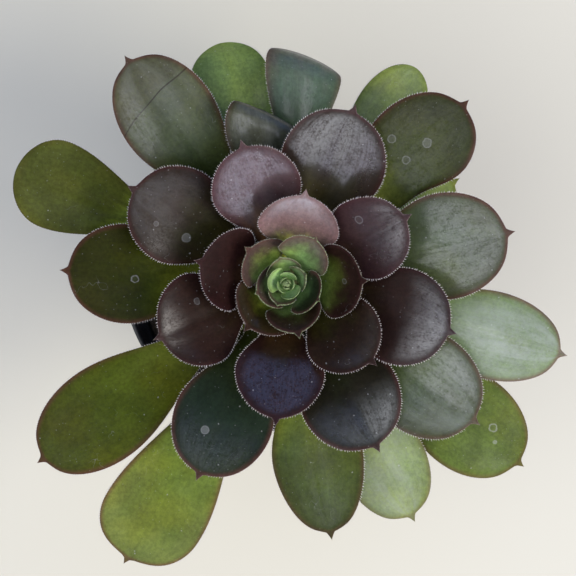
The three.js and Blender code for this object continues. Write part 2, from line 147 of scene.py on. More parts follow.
# What each leaf shows of its own. bright and yellow set the blade's green, and foot how bright it is near
# the stem. flush is how far it turns dark towards the tip, start where along it, and rose how rosy the
# flush is. wax is the dull waxy film, partly real and partly a painted highlight, band the
# margin, and sheen the gloss, which starts at gloss.
# bright, and foot far more, are raised on leaves and feet that lie in shade, as painted light.
Look = namedtuple("Look", "bright yellow foot flush start rose wax band sheen gloss")
LOOKS = {
    0: Look(1.12, 0.60, 6.00, 0.15, 0.30, 1.00, 0.20, 0.10, 0.50, 0.40),
    2: Look(0.46, 0.60, 1.10, 0.00, 0.80, 0.00, 0.02, 0.50, 0.12, 0.40),
    3: Look(1.10, 0.30, 1.50, 0.00, 0.80, 0.00, 0.02, 0.05, 0.30, 0.40),
    4: Look(0.62, 0.68, 0.11, 0.14, 0.78, 1.00, 0.00, 0.80, 0.05, 0.40),
    5: Look(0.90, 0.50, 1.00, 0.00, 0.80, 0.00, 0.20, 0.30, 0.40, 0.40),
    6: Look(0.29, 0.95, 7.00, 0.20, 0.60, 0.30, 0.00, 0.15, 0.05, 0.40),
    7: Look(0.98, 0.50, 1.30, 0.15, 0.75, 1.00, 0.48, 0.50, 0.60, 0.40),
    8: Look(0.46, -0.20, 1.00, 0.55, 0.90, 0.60, 0.10, 0.50, 0.50, 0.40),
    9: Look(0.24, 0.90, 0.90, 0.40, 0.80, 0.00, 0.00, 0.90, 0.05, 0.40),
    10: Look(0.85, 0.30, 1.50, 0.10, 0.80, 1.00, 0.85, 0.90, 1.00, 0.42),
    11: Look(0.30, 0.45, 0.30, 0.35, 0.60, 0.20, 0.20, 0.90, 0.45, 0.42),
    12: Look(0.30, 0.55, 3.00, 0.35, 0.80, 0.00, 0.03, 0.60, 0.20, 0.40),
    13: Look(0.24, 0.40, 3.40, 0.50, 0.68, 0.00, 0.03, 1.00, 0.25, 0.40),
    14: Look(0.09, 0.95, 1.10, 0.30, 0.70, 0.00, 0.00, 0.70, 0.05, 0.40),
    15: Look(0.30, 0.15, 0.50, 0.30, 0.75, 0.20, 0.32, 0.60, 0.90, 0.50),
    16: Look(0.28, 0.25, 0.45, 0.60, 0.35, 0.00, 0.26, 0.50, 0.60, 0.36),
    17: Look(0.10, -0.20, 0.20, 0.25, 0.85, 0.00, 0.02, 0.70, 0.70, 0.62),
    18: Look(0.27, 0.30, 0.50, 0.40, 0.75, 0.10, 0.20, 1.00, 0.65, 0.34),
    19: Look(0.08, 0.50, 0.30, 0.80, 0.52, 0.00, 0.18, 0.80, 0.20, 0.56),
    20: Look(0.05, -0.10, 0.10, 0.40, 0.50, 0.00, 0.12, 0.60, 1.00, 0.60),
    21: Look(0.08, 0.40, 1.60, 0.80, 0.45, 0.00, 0.08, 1.00, 1.00, 0.06),
    22: Look(0.08, 0.60, 0.30, 0.90, 0.35, 0.00, 0.08, 0.70, 0.34, 0.66),
    23: Look(0.08, 0.60, 0.80, 0.92, 0.35, 0.00, 0.42, 0.80, 1.00, 0.64),
    24: Look(0.08, 0.60, 3.20, 0.96, 0.38, 0.22, 0.12, 1.00, 0.95, -0.12),
    25: Look(0.08, 0.90, 0.50, 0.94, 0.35, 0.00, 0.00, 0.60, 1.00, 0.38),
    26: Look(0.08, 0.60, 1.00, 0.97, 0.35, 0.10, 0.05, 0.90, 1.00, 0.42),
    27: Look(0.08, 0.60, 1.60, 0.98, 0.30, 0.00, 0.00, 0.50, 0.00, 0.42),
    28: Look(0.10, 0.80, 0.40, 0.85, 0.42, 0.00, 0.08, 0.50, 0.90, 0.66),
    29: Look(1.20, 0.60, 10.00, 0.92, 0.30, 0.90, 0.84, 0.50, 1.00, 0.58),
    30: Look(0.26, 0.95, 1.40, 0.87, 0.42, 0.00, 0.00, 0.80, 0.30, 0.50),
    31: Look(0.30, 0.80, 0.80, 0.97, 0.54, 0.00, 0.00, 0.80, 0.05, 0.50),
    32: Look(0.85, 0.60, 1.30, 0.93, 0.50, 0.22, 0.02, 0.90, 0.30, 0.50),
    33: Look(0.18, 0.50, 0.50, 0.88, 0.52, 0.00, 0.00, 0.80, 0.30, 0.50),
    34: Look(1.15, 0.30, 1.20, 0.85, 0.63, 0.40, 0.06, 0.90, 0.40, 0.50),
    35: Look(0.50, 0.40, 0.90, 0.84, 0.52, 0.20, 0.02, 0.90, 0.30, 0.50),
    36: Look(0.13, -0.20, 0.90, 0.45, 0.66, 0.00, 0.00, 0.90, 0.10, 0.50),
    37: Look(1.50, 0.10, 1.50, 0.70, 0.66, 0.40, 0.05, 0.80, 0.30, 0.40),
    38: Look(0.75, 0.00, 0.80, 0.70, 0.62, 0.20, 0.03, 0.80, 0.30, 0.50),
    39: Look(1.20, 0.10, 1.00, 0.50, 0.72, 0.30, 0.10, 0.70, 0.30, 0.30),
    40: Look(2.10, 0.40, 2.40, 0.20, 0.80, 0.30, 0.35, 0.40, 0.20, 0.10),
}

# The photograph's width in pixels, and the width of the camera's sensor in millimetres
PHOTO_SIZE = 576
SENSOR_WIDTH = 36.0

# Dried drops: the leaf, the pixel of the photograph where the drop's middle shows, its radius in
# millimetres, how filled it is and how ragged its outline is
Drop = namedtuple("Drop", "age pixel radius filled ragged")
DROPS = [
    Drop(age=2, pixel=(493, 428), radius=1.2, filled=0.1, ragged=0.4),
    Drop(age=2, pixel=(495, 442), radius=0.6, filled=0.9, ragged=0.3),
    Drop(age=13, pixel=(392, 139), radius=1.1, filled=0.4, ragged=0.3),
    Drop(age=13, pixel=(427, 143), radius=1.2, filled=0.6, ragged=0.4),
    Drop(age=13, pixel=(406, 160), radius=1.1, filled=0.2, ragged=0.3),
    Drop(age=14, pixel=(135, 279), radius=1.0, filled=0.1, ragged=0.5),
    Drop(age=17, pixel=(205, 430), radius=1.1, filled=0.8, ragged=0.1),
    Drop(age=19, pixel=(186, 238), radius=1.2, filled=0.8, ragged=0.2),
    Drop(age=19, pixel=(156, 224), radius=0.7, filled=0.5, ragged=0.4),
    Drop(age=22, pixel=(197, 301), radius=0.8, filled=0.4, ragged=0.8),
    Drop(age=24, pixel=(252, 195), radius=0.4, filled=1.0, ragged=0.0),
    Drop(age=26, pixel=(359, 220), radius=1.1, filled=0.2, ragged=0.2),
    Drop(age=31, pixel=(344, 281), radius=0.7, filled=0.2, ragged=0.5),
]

# The creased leaf, the crease's place along it, and how far its ends lie from that place
CREASED_AGE = 11
CREASE_PLACE = 0.793
CREASE_SLANT = 0.035

# Settings of the leaf shader that are the same on every leaf
LEAF_SURFACE = {
    "Coat Roughness": 0.22,
    "Coat IOR": 1.75,
    "IOR": 1.5,
    "Subsurface Weight": 0.08,
    "Subsurface Radius": (0.6, 0.9, 0.25),
    "Subsurface Scale": 0.0015,
}

# Small colours: a warm patch that multiplies the green, a leaf's underside, dust on the pot, a bark chip,
# a grain of perlite and a crack in the stem's bark
WARM_PATCH = (1.22, 1.08, 0.72)
UNDERSIDE = (0.16, 0.17, 0.075)
POT_DUST = (0.30, 0.27, 0.23)
BARK_CHIP = (0.095, 0.045, 0.02)
PERLITE = (0.62, 0.60, 0.55)
BARK_CRACK = (0.075, 0.05, 0.034)

# The main light: where it hangs and what it shines at, in metres, its width and its colour
KEY_PLACE = (1.78, -0.85, 2.05)
KEY_AIM = (0.0, 0.0, 0.12)
KEY_SIZE = 1.5
KEY_TINT = (1.0, 0.960, 0.915)

# The room's light: one colour all round, and over it the light above, the dusk behind, the pale wall in
# front and the bright window at the left. A glow lies toward its aim; it starts and is full at two values
# of the scalar product with it.
ROOM_TINT = (0.11, 0.140, 0.190)
Glow = namedtuple("Glow", "aim start full tint")
GLOWS = [
    Glow(aim=(0.0, 0.0, 1.0), start=0.78, full=0.94, tint=(0.50, 0.57, 0.66)),
    Glow(aim=(0.22, 0.80, 0.56), start=0.60, full=0.95, tint=(0.27, 0.39, 0.82)),
    Glow(aim=(0.12, -0.80, 0.585), start=0.82, full=0.97, tint=(1.95, 1.95, 2.4)),
    Glow(aim=(-0.47, -0.26, 0.84), start=0.82, full=0.965, tint=(3.0, 3.1, 3.3)),
]


def smoothstep(t):
    """Rises from 0 to 1 with t, level at both ends: three t squared less two t cubed."""
    c = np.clip(t, 0.0, 1.0)
    return c * c * (3.0 - 2.0 * c)


def mix(a, b, t):
    """The straight run from a to b, at the share t of the way."""
    return a + (b - a) * t


def habit(age):
    """What the age alone decides: slopes, the foot's place on the stem, thicknesses and outline."""
    u = age / OLDEST_TO_HEART
    narrowing = max(0.0, (age - NARROWING_AGE) / (OLDEST_TO_HEART - NARROWING_AGE))
    young = max(0, age - YOUNG_AGE)
    return dict(
        foot_slope=math.radians(mix(*FOOT_SLOPES, u ** FOOT_POWER)),
        tip_slope=math.radians(mix(*TIP_SLOPES, u ** TIP_POWER)),
        foot_height=LEAF_RISE * (age - young) + YOUNG_RISE * young,
        foot_radius=mix(LEAF_FOOT_RADIUS, HEART_FOOT_RADIUS, narrowing),
        foot_thickness=mix(*FOOT_THICKNESSES, u),
        belly_thickness=mix(*BELLY_THICKNESSES, u),
        edge_thickness=mix(*EDGE_THICKNESSES, u),
        claw=CLAW_SHARE,
        waist=mix(0.28, 0.12, u),
        widest=mix(0.77, 0.67, u),
        round=2.1,
        swing=0.0,
        fold=0.0,
        tuck=0.0,
        lift=0.0,
        bend=None,
        mucro=MUCRO_LENGTH,
    )


def measure(leaf):
    """Fills in the arc length for the leaf's reach: the meridian's slope runs evenly to the tip."""
    spread = leaf["tip_slope"] - leaf["foot_slope"]
    run = (math.sin(leaf["tip_slope"]) - math.sin(leaf["foot_slope"])) / spread
    leaf["length"] = (leaf["reach"] - leaf["foot_radius"]) / run
    leaf["body_end"] = 1.0 - leaf["mucro"] / leaf["length"]
    return leaf


def grow_leaf(own):
    """One leaf: what its age decides, with its own entries in place of those."""
    leaf = {**habit(own["age"]), **own}
    leaf["foot_slope"] += math.radians(leaf["lift"])
    leaf["tip_slope"] += math.radians(leaf["lift"])
    leaf["azimuth"] = FIRST_TURN + GOLDEN_TURN * leaf["age"] + math.radians(leaf["turn"])
    return measure(leaf)


def half_width(leaf, s):
    """Half width along the blade: a narrow claw swells by a smoothstep to the widest place, then closes
    as the root of one minus a power. A point at the tip grows as a power of the distance from the tip,
    and the two are joined by a cubic mean, so that the outline sweeps out into the point."""
    t = s / leaf["body_end"]
    claw, waist, widest = leaf["claw"], leaf["waist"], leaf["widest"]
    swell = claw + (1.0 - claw) * smoothstep((t - waist) / (widest - waist))
    c = np.clip((t - widest) / (1.0 - widest), 0.0, 1.0)
    width = leaf["half"] * swell * np.sqrt(np.maximum(0.0, 1.0 - c ** leaf["round"]))
    if not leaf["mucro"]:
        return width
    before = np.maximum(0.0, leaf["body_end"] - s) * leaf["length"]
    tip = np.maximum(0.0, 1.0 - s) * leaf["length"]
    flare = 0.3 * leaf["mucro"]
    width = width * (1.0 - np.exp(-before / flare))
    point = POINT_HALF * (0.35 + 0.3 * leaf["mucro"]) * (tip / leaf["mucro"]) ** 1.3
    point = point * np.exp(-before / (1.2 * leaf["mucro"]))
    return np.cbrt(width ** 3 + point ** 3)


def bend_offset(leaf, radius, slope, across):
    """Past a straight line across the leaf the blade turns down on an arc and then runs on straight."""
    at, slant, bend_radius, angle = leaf["bend"]
    skew, full = math.atan(slant), math.radians(angle)
    past = np.maximum(0.0, ((radius - at) / np.cos(slope) + slant * across) * math.cos(skew))
    arc = np.minimum(past / bend_radius, full)
    rest = np.maximum(0.0, past - bend_radius * full)
    forward = bend_radius * np.sin(arc) + rest * math.cos(full) - past
    down = bend_radius * (1.0 - np.cos(arc)) + rest * math.sin(full)
    return forward * math.cos(skew), forward * math.sin(skew), down


def blade_point(leaf, s, across):
    """Points of the blade's middle surface, a patch of the surface that the meridian arc sweeps about the
    rosette's axis: radius and height follow the arc, and the distance across turns it about the axis."""
    spread = leaf["tip_slope"] - leaf["foot_slope"]
    slope = leaf["foot_slope"] + spread * s
    pace = leaf["length"] / spread
    radius = leaf["foot_radius"] + pace * (np.sin(slope) - math.sin(leaf["foot_slope"]))
    height = leaf["foot_height"] - pace * (np.cos(slope) - math.cos(leaf["foot_slope"]))
    near = np.exp(-(((s - TUCK_PLACE) / TUCK_SPREAD) ** 2))
    inward = leaf["tuck"] * smoothstep(-across / leaf["half"]) * near
    side = across * (1.0 - inward)
    along = 0.0 * across
    lift = leaf["fold"] * (np.hypot(across, 1.0) - 1.0) * smoothstep(s)
    if "wave" in leaf:
        lift = lift + waver(leaf, s, across)
    if leaf["bend"]:
        along, shift, down = bend_offset(leaf, radius, slope, across)
        side = side + shift
        lift = lift - down
    turn = leaf["azimuth"] + (side + leaf["swing"] * s * s) / radius
    out = radius + along * np.cos(slope) - lift * np.sin(slope)
    up = height + along * np.sin(slope) + lift * np.cos(slope)
    return np.stack([out * np.cos(turn), out * np.sin(turn), up], axis=-1)


def waver(leaf, s, across):
    """Slight unevenness of a grown blade: a few low sine waves, strongest at the margins."""
    reach = across / leaf["half"]
    first, second, third, fourth = leaf["wave"]
    swell = leaf["half"] * smoothstep((s - 0.25) / 0.5)
    edge = np.sin(7.0 * s + first) * reach ** 2 * np.sign(reach) + np.sin(9.5 * s + second) * reach ** 2
    belly = np.sin(5.0 * s + third) + np.sin(3.0 * reach + fourth)
    fan = across / np.maximum(half_width(leaf, s), 0.5)
    ribs = np.cos(9.0 * fan + first) + 0.6 * np.cos(17.0 * fan + 4.0 * s + second)
    ribs = ribs * (1.0 - fan ** 2) * smoothstep((1.0 - s) / 0.25)
    return swell * (EDGE_WAVE * edge + BELLY_WAVE * belly + RIB_WAVE * ribs)


def unit(v):
    return v / np.maximum(np.linalg.norm(v, axis=-1, keepdims=True), 1e-12)


def blade_normal(leaf, s, across):
    """The unit normal of the blade's middle surface: the cross product of a short step along the blade and
    a short step across it."""
    step, side_step = 0.003, 0.05
    ahead = blade_point(leaf, np.minimum(s + step, 1.0), across)
    along = ahead - blade_point(leaf, np.maximum(s - step, 0.0), across)
    side = blade_point(leaf, s, across + side_step) - blade_point(leaf, s, across - side_step)
    return unit(np.cross(along, side))


def full_turn(sides):
    """Even angles round a circle."""
    return 2.0 * math.pi * np.arange(sides) / sides


def ring(radius, height, angle, centre=(0.0, 0.0)):
    """Points of a level circle; with columns for radius and height, one circle for each row."""
    x = radius * np.cos(angle) + centre[0]
    y = radius * np.sin(angle) + centre[1]
    return np.stack([x, y, height + 0.0 * x], axis=-1)


def tube(rings):
    """Faces of a closed tube: quads between neighbouring rings of points, and a fan to one point at
    each end. rings has the shape (count, sides, 3)."""
    count, sides, _ = rings.shape
    ring = np.arange(count - 1)[:, None] * sides
    j = np.arange(sides)[None, :]
    k = (j + 1) % sides
    quads = np.stack([ring + j, ring + sides + j, ring + sides + k, ring + k], axis=-1).reshape(-1, 4)
    foot, head = count * sides, count * sides + 1
    j, k = j[0], k[0]
    last = (count - 1) * sides
    start = np.stack([np.full(sides, foot), j, k], axis=-1)
    end = np.stack([np.full(sides, head), last + k, last + j], axis=-1)
    return quads, np.concatenate([start, end])


def capped(rings):
    """Points and faces of a body of rings, with one more point in the middle of each end."""
    quads, tris = tube(rings)
    poles = np.stack([rings[0].mean(axis=0), rings[-1].mean(axis=0)])
    return np.concatenate([rings.reshape(-1, 3), poles]), quads[:, ::-1], tris[:, ::-1]


def build_mesh(name, points, quads, tris, attributes=None):
    """Puts whole arrays of points (in millimetres), faces and point attributes into one mesh object."""
    mesh = bpy.data.meshes.new(name)
    mesh.vertices.add(len(points))
    mesh.vertices.foreach_set("co", (points * MM).astype(np.float32).ravel())
    corners = np.concatenate([quads.ravel(), tris.ravel()]).astype(np.int32)
    starts = np.concatenate([4 * np.arange(len(quads)), 4 * len(quads) + 3 * np.arange(len(tris))])
    mesh.loops.add(len(corners))
    mesh.loops.foreach_set("vertex_index", corners)
    mesh.polygons.add(len(starts))
    mesh.polygons.foreach_set("loop_start", starts.astype(np.int32))
    mesh.polygons.foreach_set("use_smooth", np.ones(len(starts), bool))
    mesh.update(calc_edges=True)
    for key, values in (attributes or {}).items():
        layer = mesh.attributes.new(key, "FLOAT", "POINT")
        layer.data.foreach_set("value", values.astype(np.float32).ravel())
    piece = bpy.data.objects.new(name, mesh)
    bpy.context.scene.collection.objects.link(piece)
    return piece


def join(parts):
    """Joins several (points, quads, tris, attributes) sets into one, with their indices moved on."""
    points, quads, tris, attributes, offset = [], [], [], [], 0
    for p, q, t, a in parts:
        points.append(p)
        quads.append(q + offset)
        tris.append(t + offset)
        attributes.append(a)
        offset += len(p)
    keys = attributes[0].keys()
    joined = {key: np.concatenate([a[key] for a in attributes]) for key in keys}
    return np.concatenate(points), np.concatenate(quads), np.concatenate(tris), joined


def lean(points):
    """From the rosette's leaning frame to the part's own frame."""
    c, s = math.cos(ROSETTE_LEAN), math.sin(ROSETTE_LEAN)
    x, y, z = points[..., 0], points[..., 1], points[..., 2]
    return np.stack([x, y * c - z * s, y * s + z * c], axis=-1) + ROSETTE_FOOT


def half_thickness(leaf, s, v, width):
    """Half the blade's thickness: a parabola along it, less towards the edge with the square of v, and
    closed by a high power of v in a rounded rim."""
    middle = mix(leaf["foot_thickness"], 1.2 * leaf["edge_thickness"], s)
    middle = middle + 4.0 * (leaf["belly_thickness"] - leaf["foot_thickness"]) * s * (1.0 - s)
    thick = 0.5 * mix(middle, leaf["edge_thickness"], v * v)
    return np.minimum(thick, 0.6 * width + 0.04) * np.sqrt(np.maximum(0.0, 1.0 - np.abs(v) ** 18))


def place_seen_at(leaf, pixel, stage):
    """The place on a blade's upper face, in metres, that shows at a pixel of the photograph: of a fine grid
    of points on that face, the one that the camera's projection puts nearest to the pixel."""
    s, v = np.meshgrid(np.linspace(0.3, 0.98, 300), np.linspace(-0.98, 0.98, 200), indexing="ij")
    width = half_width(leaf, s)
    rise = half_thickness(leaf, s, v, width)[..., None] * blade_normal(leaf, s, width * v)
    places = lean(blade_point(leaf, s, width * v) + rise) * MM
    pace = PHOTO_SIZE * stage.lens / SENSOR_WIDTH / (stage.camera_height - places[..., 2])
    right = 0.5 * PHOTO_SIZE + pace * (places[..., 0] - stage.camera_x)
    down = 0.5 * PHOTO_SIZE - pace * (places[..., 1] - stage.camera_y)
    nearest = np.argmin(np.hypot(right - pixel[0], down - pixel[1]))
    return tuple(places.reshape(-1, 3)[nearest])


def blade(leaf, rows, columns):
    """One closed blade. Rings run round each cross-section, over the upper face and back under it; the
    half thickness falls from midrib to edge and closes in a rounded rim, with a channel on top."""
    body = 1.0 - (1.0 - np.linspace(0.0, 1.0, rows)) ** 1.5
    s = np.append(leaf["body_end"] * 0.995 * body, mix(leaf["body_end"], 1.0, np.linspace(0.04, 0.97, 8)))
    if not leaf["mucro"]:
        s = 0.9995 * body
    v = np.sin(0.5 * math.pi * np.linspace(-1.0, 1.0, columns + 1))
    v = np.concatenate([v, v[-2:0:-1]])
    face = np.concatenate([np.ones(columns + 1), -np.ones(columns - 1)])
    s, v = np.meshgrid(s, v, indexing="ij")
    face = np.broadcast_to(face, s.shape)
    width = half_width(leaf, s)
    across = width * v
    thick = half_thickness(leaf, s, v, width)
    channel = 0.16 * np.exp(-((across / 1.1) ** 2)) * smoothstep((1.0 - s) / 0.3)
    thick = thick - np.where(face > 0, channel, -1.2 * channel)
    points = blade_point(leaf, s, across) + (face * thick)[..., None] * blade_normal(leaf, s, across)
    quads, tris = tube(points)
    poles = np.stack([points[0].mean(axis=0), blade_point(leaf, np.array(1.0), np.array(0.0))])
    flare = np.gradient(width[:, 0], s[:, 0] * leaf["length"] + 1e-6)[:, None]
    edge = width * (1.0 - np.abs(v)) / np.sqrt(1.0 + flare ** 2)
    flat = dict(along=s, across=v, edge=edge, under=(face < 0).astype(float), lash=0.0 * s)
    ends = dict(along=[0.0, 1.0], across=[0.0, 0.0], edge=[2.0, 0.0], under=[0.0, 0.0], lash=[0.0, 0.0])
    attributes = {key: np.append(flat[key].ravel(), ends[key]) for key in flat}
    return np.concatenate([points.reshape(-1, 3), poles]), quads, tris, attributes


def lashes(leaf, random, spacing, length, width):
    """Tiny three-sided spikes along both margins, each a closed pyramid sunk into the rim. They stand
    out along the blade's own plane, square to the margin, with a little seeded scatter."""
    fine = np.linspace(0.22, leaf["body_end"] - 0.01, 600)
    sunk = 0.12
    sets = []
    for hand in (-1.0, 1.0):
        rim = blade_point(leaf, fine, hand * half_width(leaf, fine))
        run = np.append(0.0, np.cumsum(np.linalg.norm(np.diff(rim, axis=0), axis=1)))
        count = int(run[-1] / spacing)
        places = (np.arange(count) + random.uniform(-0.22, 0.22, count) + 0.5) * spacing
        s = np.interp(places, run, fine)
        across = hand * half_width(leaf, s)
        foot = blade_point(leaf, s, across)
        ahead = unit(blade_point(leaf, s + 0.004, hand * half_width(leaf, s + 0.004)) - foot)
        normal = blade_normal(leaf, s, across)
        out = hand * unit(np.cross(normal, ahead))
        out = unit(out + 0.35 * ahead + random.normal(0.0, 0.12, out.shape))
        tall = length * random.uniform(0.6, 1.15, count)[:, None]
        base = foot - sunk * out
        corners = [base + width * ahead, base - 0.5 * width * ahead + 0.87 * width * normal]
        corners += [base - 0.5 * width * ahead - 0.87 * width * normal, base + (tall + sunk) * out]
        points = np.stack(corners, axis=1).reshape(-1, 3)
        order = np.array([[0, 1, 3], [1, 2, 3], [2, 0, 3], [0, 2, 1]])
        if hand > 0:
            order = order[:, ::-1]
        tris = (4 * np.arange(count)[:, None, None] + order).reshape(-1, 3)
        flat = np.zeros(4 * count)
        attributes = dict(along=np.repeat(s, 4), across=flat + hand, edge=flat, under=flat, lash=flat + 1.0)
        sets.append((points, np.zeros((0, 4), int), tris, attributes))
    return sets


# Shader groups and materials
def new_group(name, inputs, outputs):
    """An empty shader node group with named sockets. Each input is (name, kind, default)."""
    group = bpy.data.node_groups.new(name, "ShaderNodeTree")
    for label, kind, default in inputs:
        socket = group.interface.new_socket(label, in_out="INPUT", socket_type="NodeSocket" + kind)
        if default is not None:
            socket.default_value = default
    for label, kind in outputs:
        group.interface.new_socket(label, in_out="OUTPUT", socket_type="NodeSocket" + kind)
    start = group.nodes.new("NodeGroupInput")
    end = group.nodes.new("NodeGroupOutput")
    return group, start.outputs, end.inputs


class Wiring:
    """Short calls for making nodes and links in one node tree."""

    def __init__(self, tree):
        self.tree = tree

    def put(self, value, socket):
        if isinstance(value, bpy.types.NodeSocket):
            self.tree.links.new(value, socket)
        elif value is not None:
            socket.default_value = value

    def node(self, kind, settings=None, **inputs):
        node = self.tree.nodes.new("ShaderNode" + kind)
        for key, value in (settings or {}).items():
            setattr(node, key, value)
        for key, value in inputs.items():
            self.put(value, node.inputs[key.replace("_", " ")])
        return node

    def math(self, operation, a, b=None):
        node = self.node("Math", dict(operation=operation))
        for value, socket in zip((a, b), node.inputs):
            self.put(value, socket)
        return node.outputs[0]

    def times(self, a, b):
        return self.math("MULTIPLY", a, b)

    def plus(self, a, b):
        return self.math("ADD", a, b)

    def minus(self, a, b):
        return self.math("SUBTRACT", a, b)

    def size(self, value):
        """The value without its sign."""
        return self.math("ABSOLUTE", value)

    def ramp(self, value, low, high, start=0.0, end=1.0):
        """Smoothstep of value from low to high, put out from start to end."""
        node = self.node("MapRange", dict(interpolation_type="SMOOTHSTEP"))
        for item, socket in zip((value, low, high, start, end), node.inputs):
            self.put(item, socket)
        return node.outputs[0]

    def blend(self, factor, a, b, mode="MIX"):
        node = self.node("Mix", dict(data_type="RGBA", blend_type=mode))
        for value, socket in ((factor, node.inputs[0]), (a, node.inputs[6]), (b, node.inputs[7])):
            self.put(value, socket)
        return node.outputs[2]

    def attribute(self, name):
        return self.node("Attribute", dict(attribute_name=name)).outputs["Fac"]

    def noise(self, vector, scale, detail=2.0, roughness=0.5):
        node = self.node("TexNoise", Vector=vector, Scale=scale, Detail=detail, Roughness=roughness)
        return node.outputs["Fac"]

    def group(self, group, **inputs):
        node = self.tree.nodes.new("ShaderNodeGroup")
        node.node_tree = group
        for key, value in inputs.items():
            self.put(value, node.inputs[key.replace("_", " ")])
        return node.outputs

    def object_place(self):
        return self.node("TexCoord").outputs["Object"]

    def blade_place(self, across, along, seed):
        """A place for a noise, from the place on the blade: how often it repeats across and along it."""
        wide = self.times(self.attribute("across"), across)
        long = self.times(self.attribute("along"), along)
        return self.node("CombineXYZ", X=wide, Y=long, Z=seed).outputs[0]

    def drawn_out(self, share):
        """The object's own place, squeezed in height so that a noise is drawn out upward; and the height."""
        split = self.node("SeparateXYZ", Vector=self.object_place())
        height = split.outputs[2]
        place = self.node("CombineXYZ", X=split.outputs[0], Y=split.outputs[1], Z=self.times(height, share))
        return place.outputs[0], height


def group_once(name, make):
    """The shared group of a name, made the first time it is asked for."""
    return bpy.data.node_groups.get(name) or make(name)


def pigment_group(name):
    """Leaf colour: the foot's yellow-green turns to the blade's green, with broad warm patches, and the
    maroon flush comes in from its start towards the tip and along the sides, broken up by a low noise. A
    band follows the margin. A mottle, streaks along the veins and broad shades darken and lighten it. The
    underside is duller, with a midrib in the foot's colour."""
    inputs = [
        ("Foot", "Color", None), ("Blade", "Color", None),
        ("Flush", "Color", None), ("Margin", "Color", None),
        ("Start", "Float", 0.5), ("Amount", "Float", 0.5), ("Band", "Float", 0.5), ("Seed", "Float", 0.0),
    ]
    group, take, give = new_group(name, inputs, [("Color", "Color")])
    w = Wiring(group)
    along, across = w.attribute("along"), w.attribute("across")
    edge, under = w.attribute("edge"), w.attribute("under")
    cloud = w.noise(w.blade_place(1.6, 3.0, take["Seed"]), 1.4, 4.0, 0.55)
    side = w.times(w.math("POWER", w.size(across), 3.0), 0.2)
    level = w.plus(w.plus(along, side), w.times(w.minus(cloud, 0.5), 0.5))
    low = w.minus(take["Start"], 0.2)
    high = w.plus(take["Start"], 0.25)
    flush = w.times(w.ramp(level, low, high), take["Amount"])
    foot = w.ramp(w.plus(along, w.times(cloud, 0.2)), 0.34, 0.74)
    green = w.blend(foot, take["Foot"], take["Blade"])
    patch = w.noise(w.object_place(), 48.0, 2.0, 0.5)
    green = w.blend(w.ramp(patch, 0.42, 0.66), green, colour(WARM_PATCH), "MULTIPLY")
    top = w.blend(flush, green, take["Flush"])
    rim = w.ramp(w.plus(edge, w.times(cloud, 1.2)), 0.6, 2.6, 1.0, 0.0)
    tip = w.ramp(along, 0.955, 0.995, 0.0, 0.8)
    rim = w.times(w.times(rim, take["Band"]), w.ramp(along, 0.35, 0.75, 0.1, 0.95))
    top = w.blend(w.math("MAXIMUM", rim, w.times(tip, take["Band"])), top, take["Margin"])
    mottle = w.noise(w.object_place(), 900.0, 5.0, 0.65)
    streak = w.noise(w.blade_place(22.0, 6.0, take["Seed"]), 1.0, 4.0, 0.6)
    shade = w.plus(w.ramp(mottle, 0.3, 0.7, 0.82, 1.18), w.ramp(streak, 0.3, 0.7, -0.05, 0.05))
    broad = w.noise(w.object_place(), 90.0, 3.0, 0.55)
    shade = w.times(shade, w.ramp(broad, 0.32, 0.66, 0.82, 1.14))
    grey = w.node("CombineColor")
    for socket in grey.inputs[:3]:
        w.put(shade, socket)
    top = w.blend(1.0, top, grey.outputs[0], "MULTIPLY")
    below = w.blend(0.5, w.blend(0.4, green, colour(UNDERSIDE)), take["Flush"])
    below = w.blend(w.ramp(w.size(across), 0.02, 0.09, 0.45, 0.0), below, take["Foot"])
    w.put(w.blend(under, top, below), give["Color"])
    return group


def wax_and_highlight_group(name):
    """Waxy film on a leaf, partly real and partly a painted highlight: a slow cloud, broken by soft streaks
    that follow the veins, by fine patches and by a grain. It comes in past Foot and, as a painted highlight,
    is strongest along the midrib and thins towards the margins. Puts out a mask, and a height for the same
    streaks, patches and grain."""
    inputs = [("Amount", "Float", 0.5), ("Foot", "Float", 0.4), ("Seed", "Float", 0.0)]
    group, take, give = new_group(name, inputs, [("Mask", "Float"), ("Height", "Float")])
    w = Wiring(group)
    along, across = w.attribute("along"), w.attribute("across")
    streaks = w.noise(w.blade_place(14.0, 5.0, take["Seed"]), 1.0, 5.0, 0.6)
    cloud = w.noise(w.blade_place(1.7, 2.4, take["Seed"]), 1.2, 3.0, 0.5)
    grain = w.noise(w.object_place(), 1300.0, 4.0, 0.8)
    patches = w.noise(w.object_place(), 380.0, 3.0, 0.6)
    level = w.plus(w.times(streaks, 0.3), w.times(cloud, 0.9))
    level = w.plus(level, w.times(w.plus(grain, patches), 0.35))
    mask = w.times(w.ramp(level, 0.55, 1.35), take["Amount"])
    inner = w.ramp(along, take["Foot"], w.plus(take["Foot"], 0.34), 0.04, 1.0)
    inner = w.times(inner, w.ramp(w.attribute("edge"), 0.3, 2.6, 0.35, 1.0))
    # Painted highlight: the mask is raised along the midrib and lowered towards the margins.
    inner = w.times(inner, w.ramp(w.size(across), 0.2, 0.95, 1.12, 0.6))
    w.put(w.times(mask, inner), give["Mask"])
    height = w.plus(w.times(streaks, 0.2), w.times(grain, 0.45))
    w.put(w.plus(height, w.times(patches, 0.35)), give["Height"])
    return group


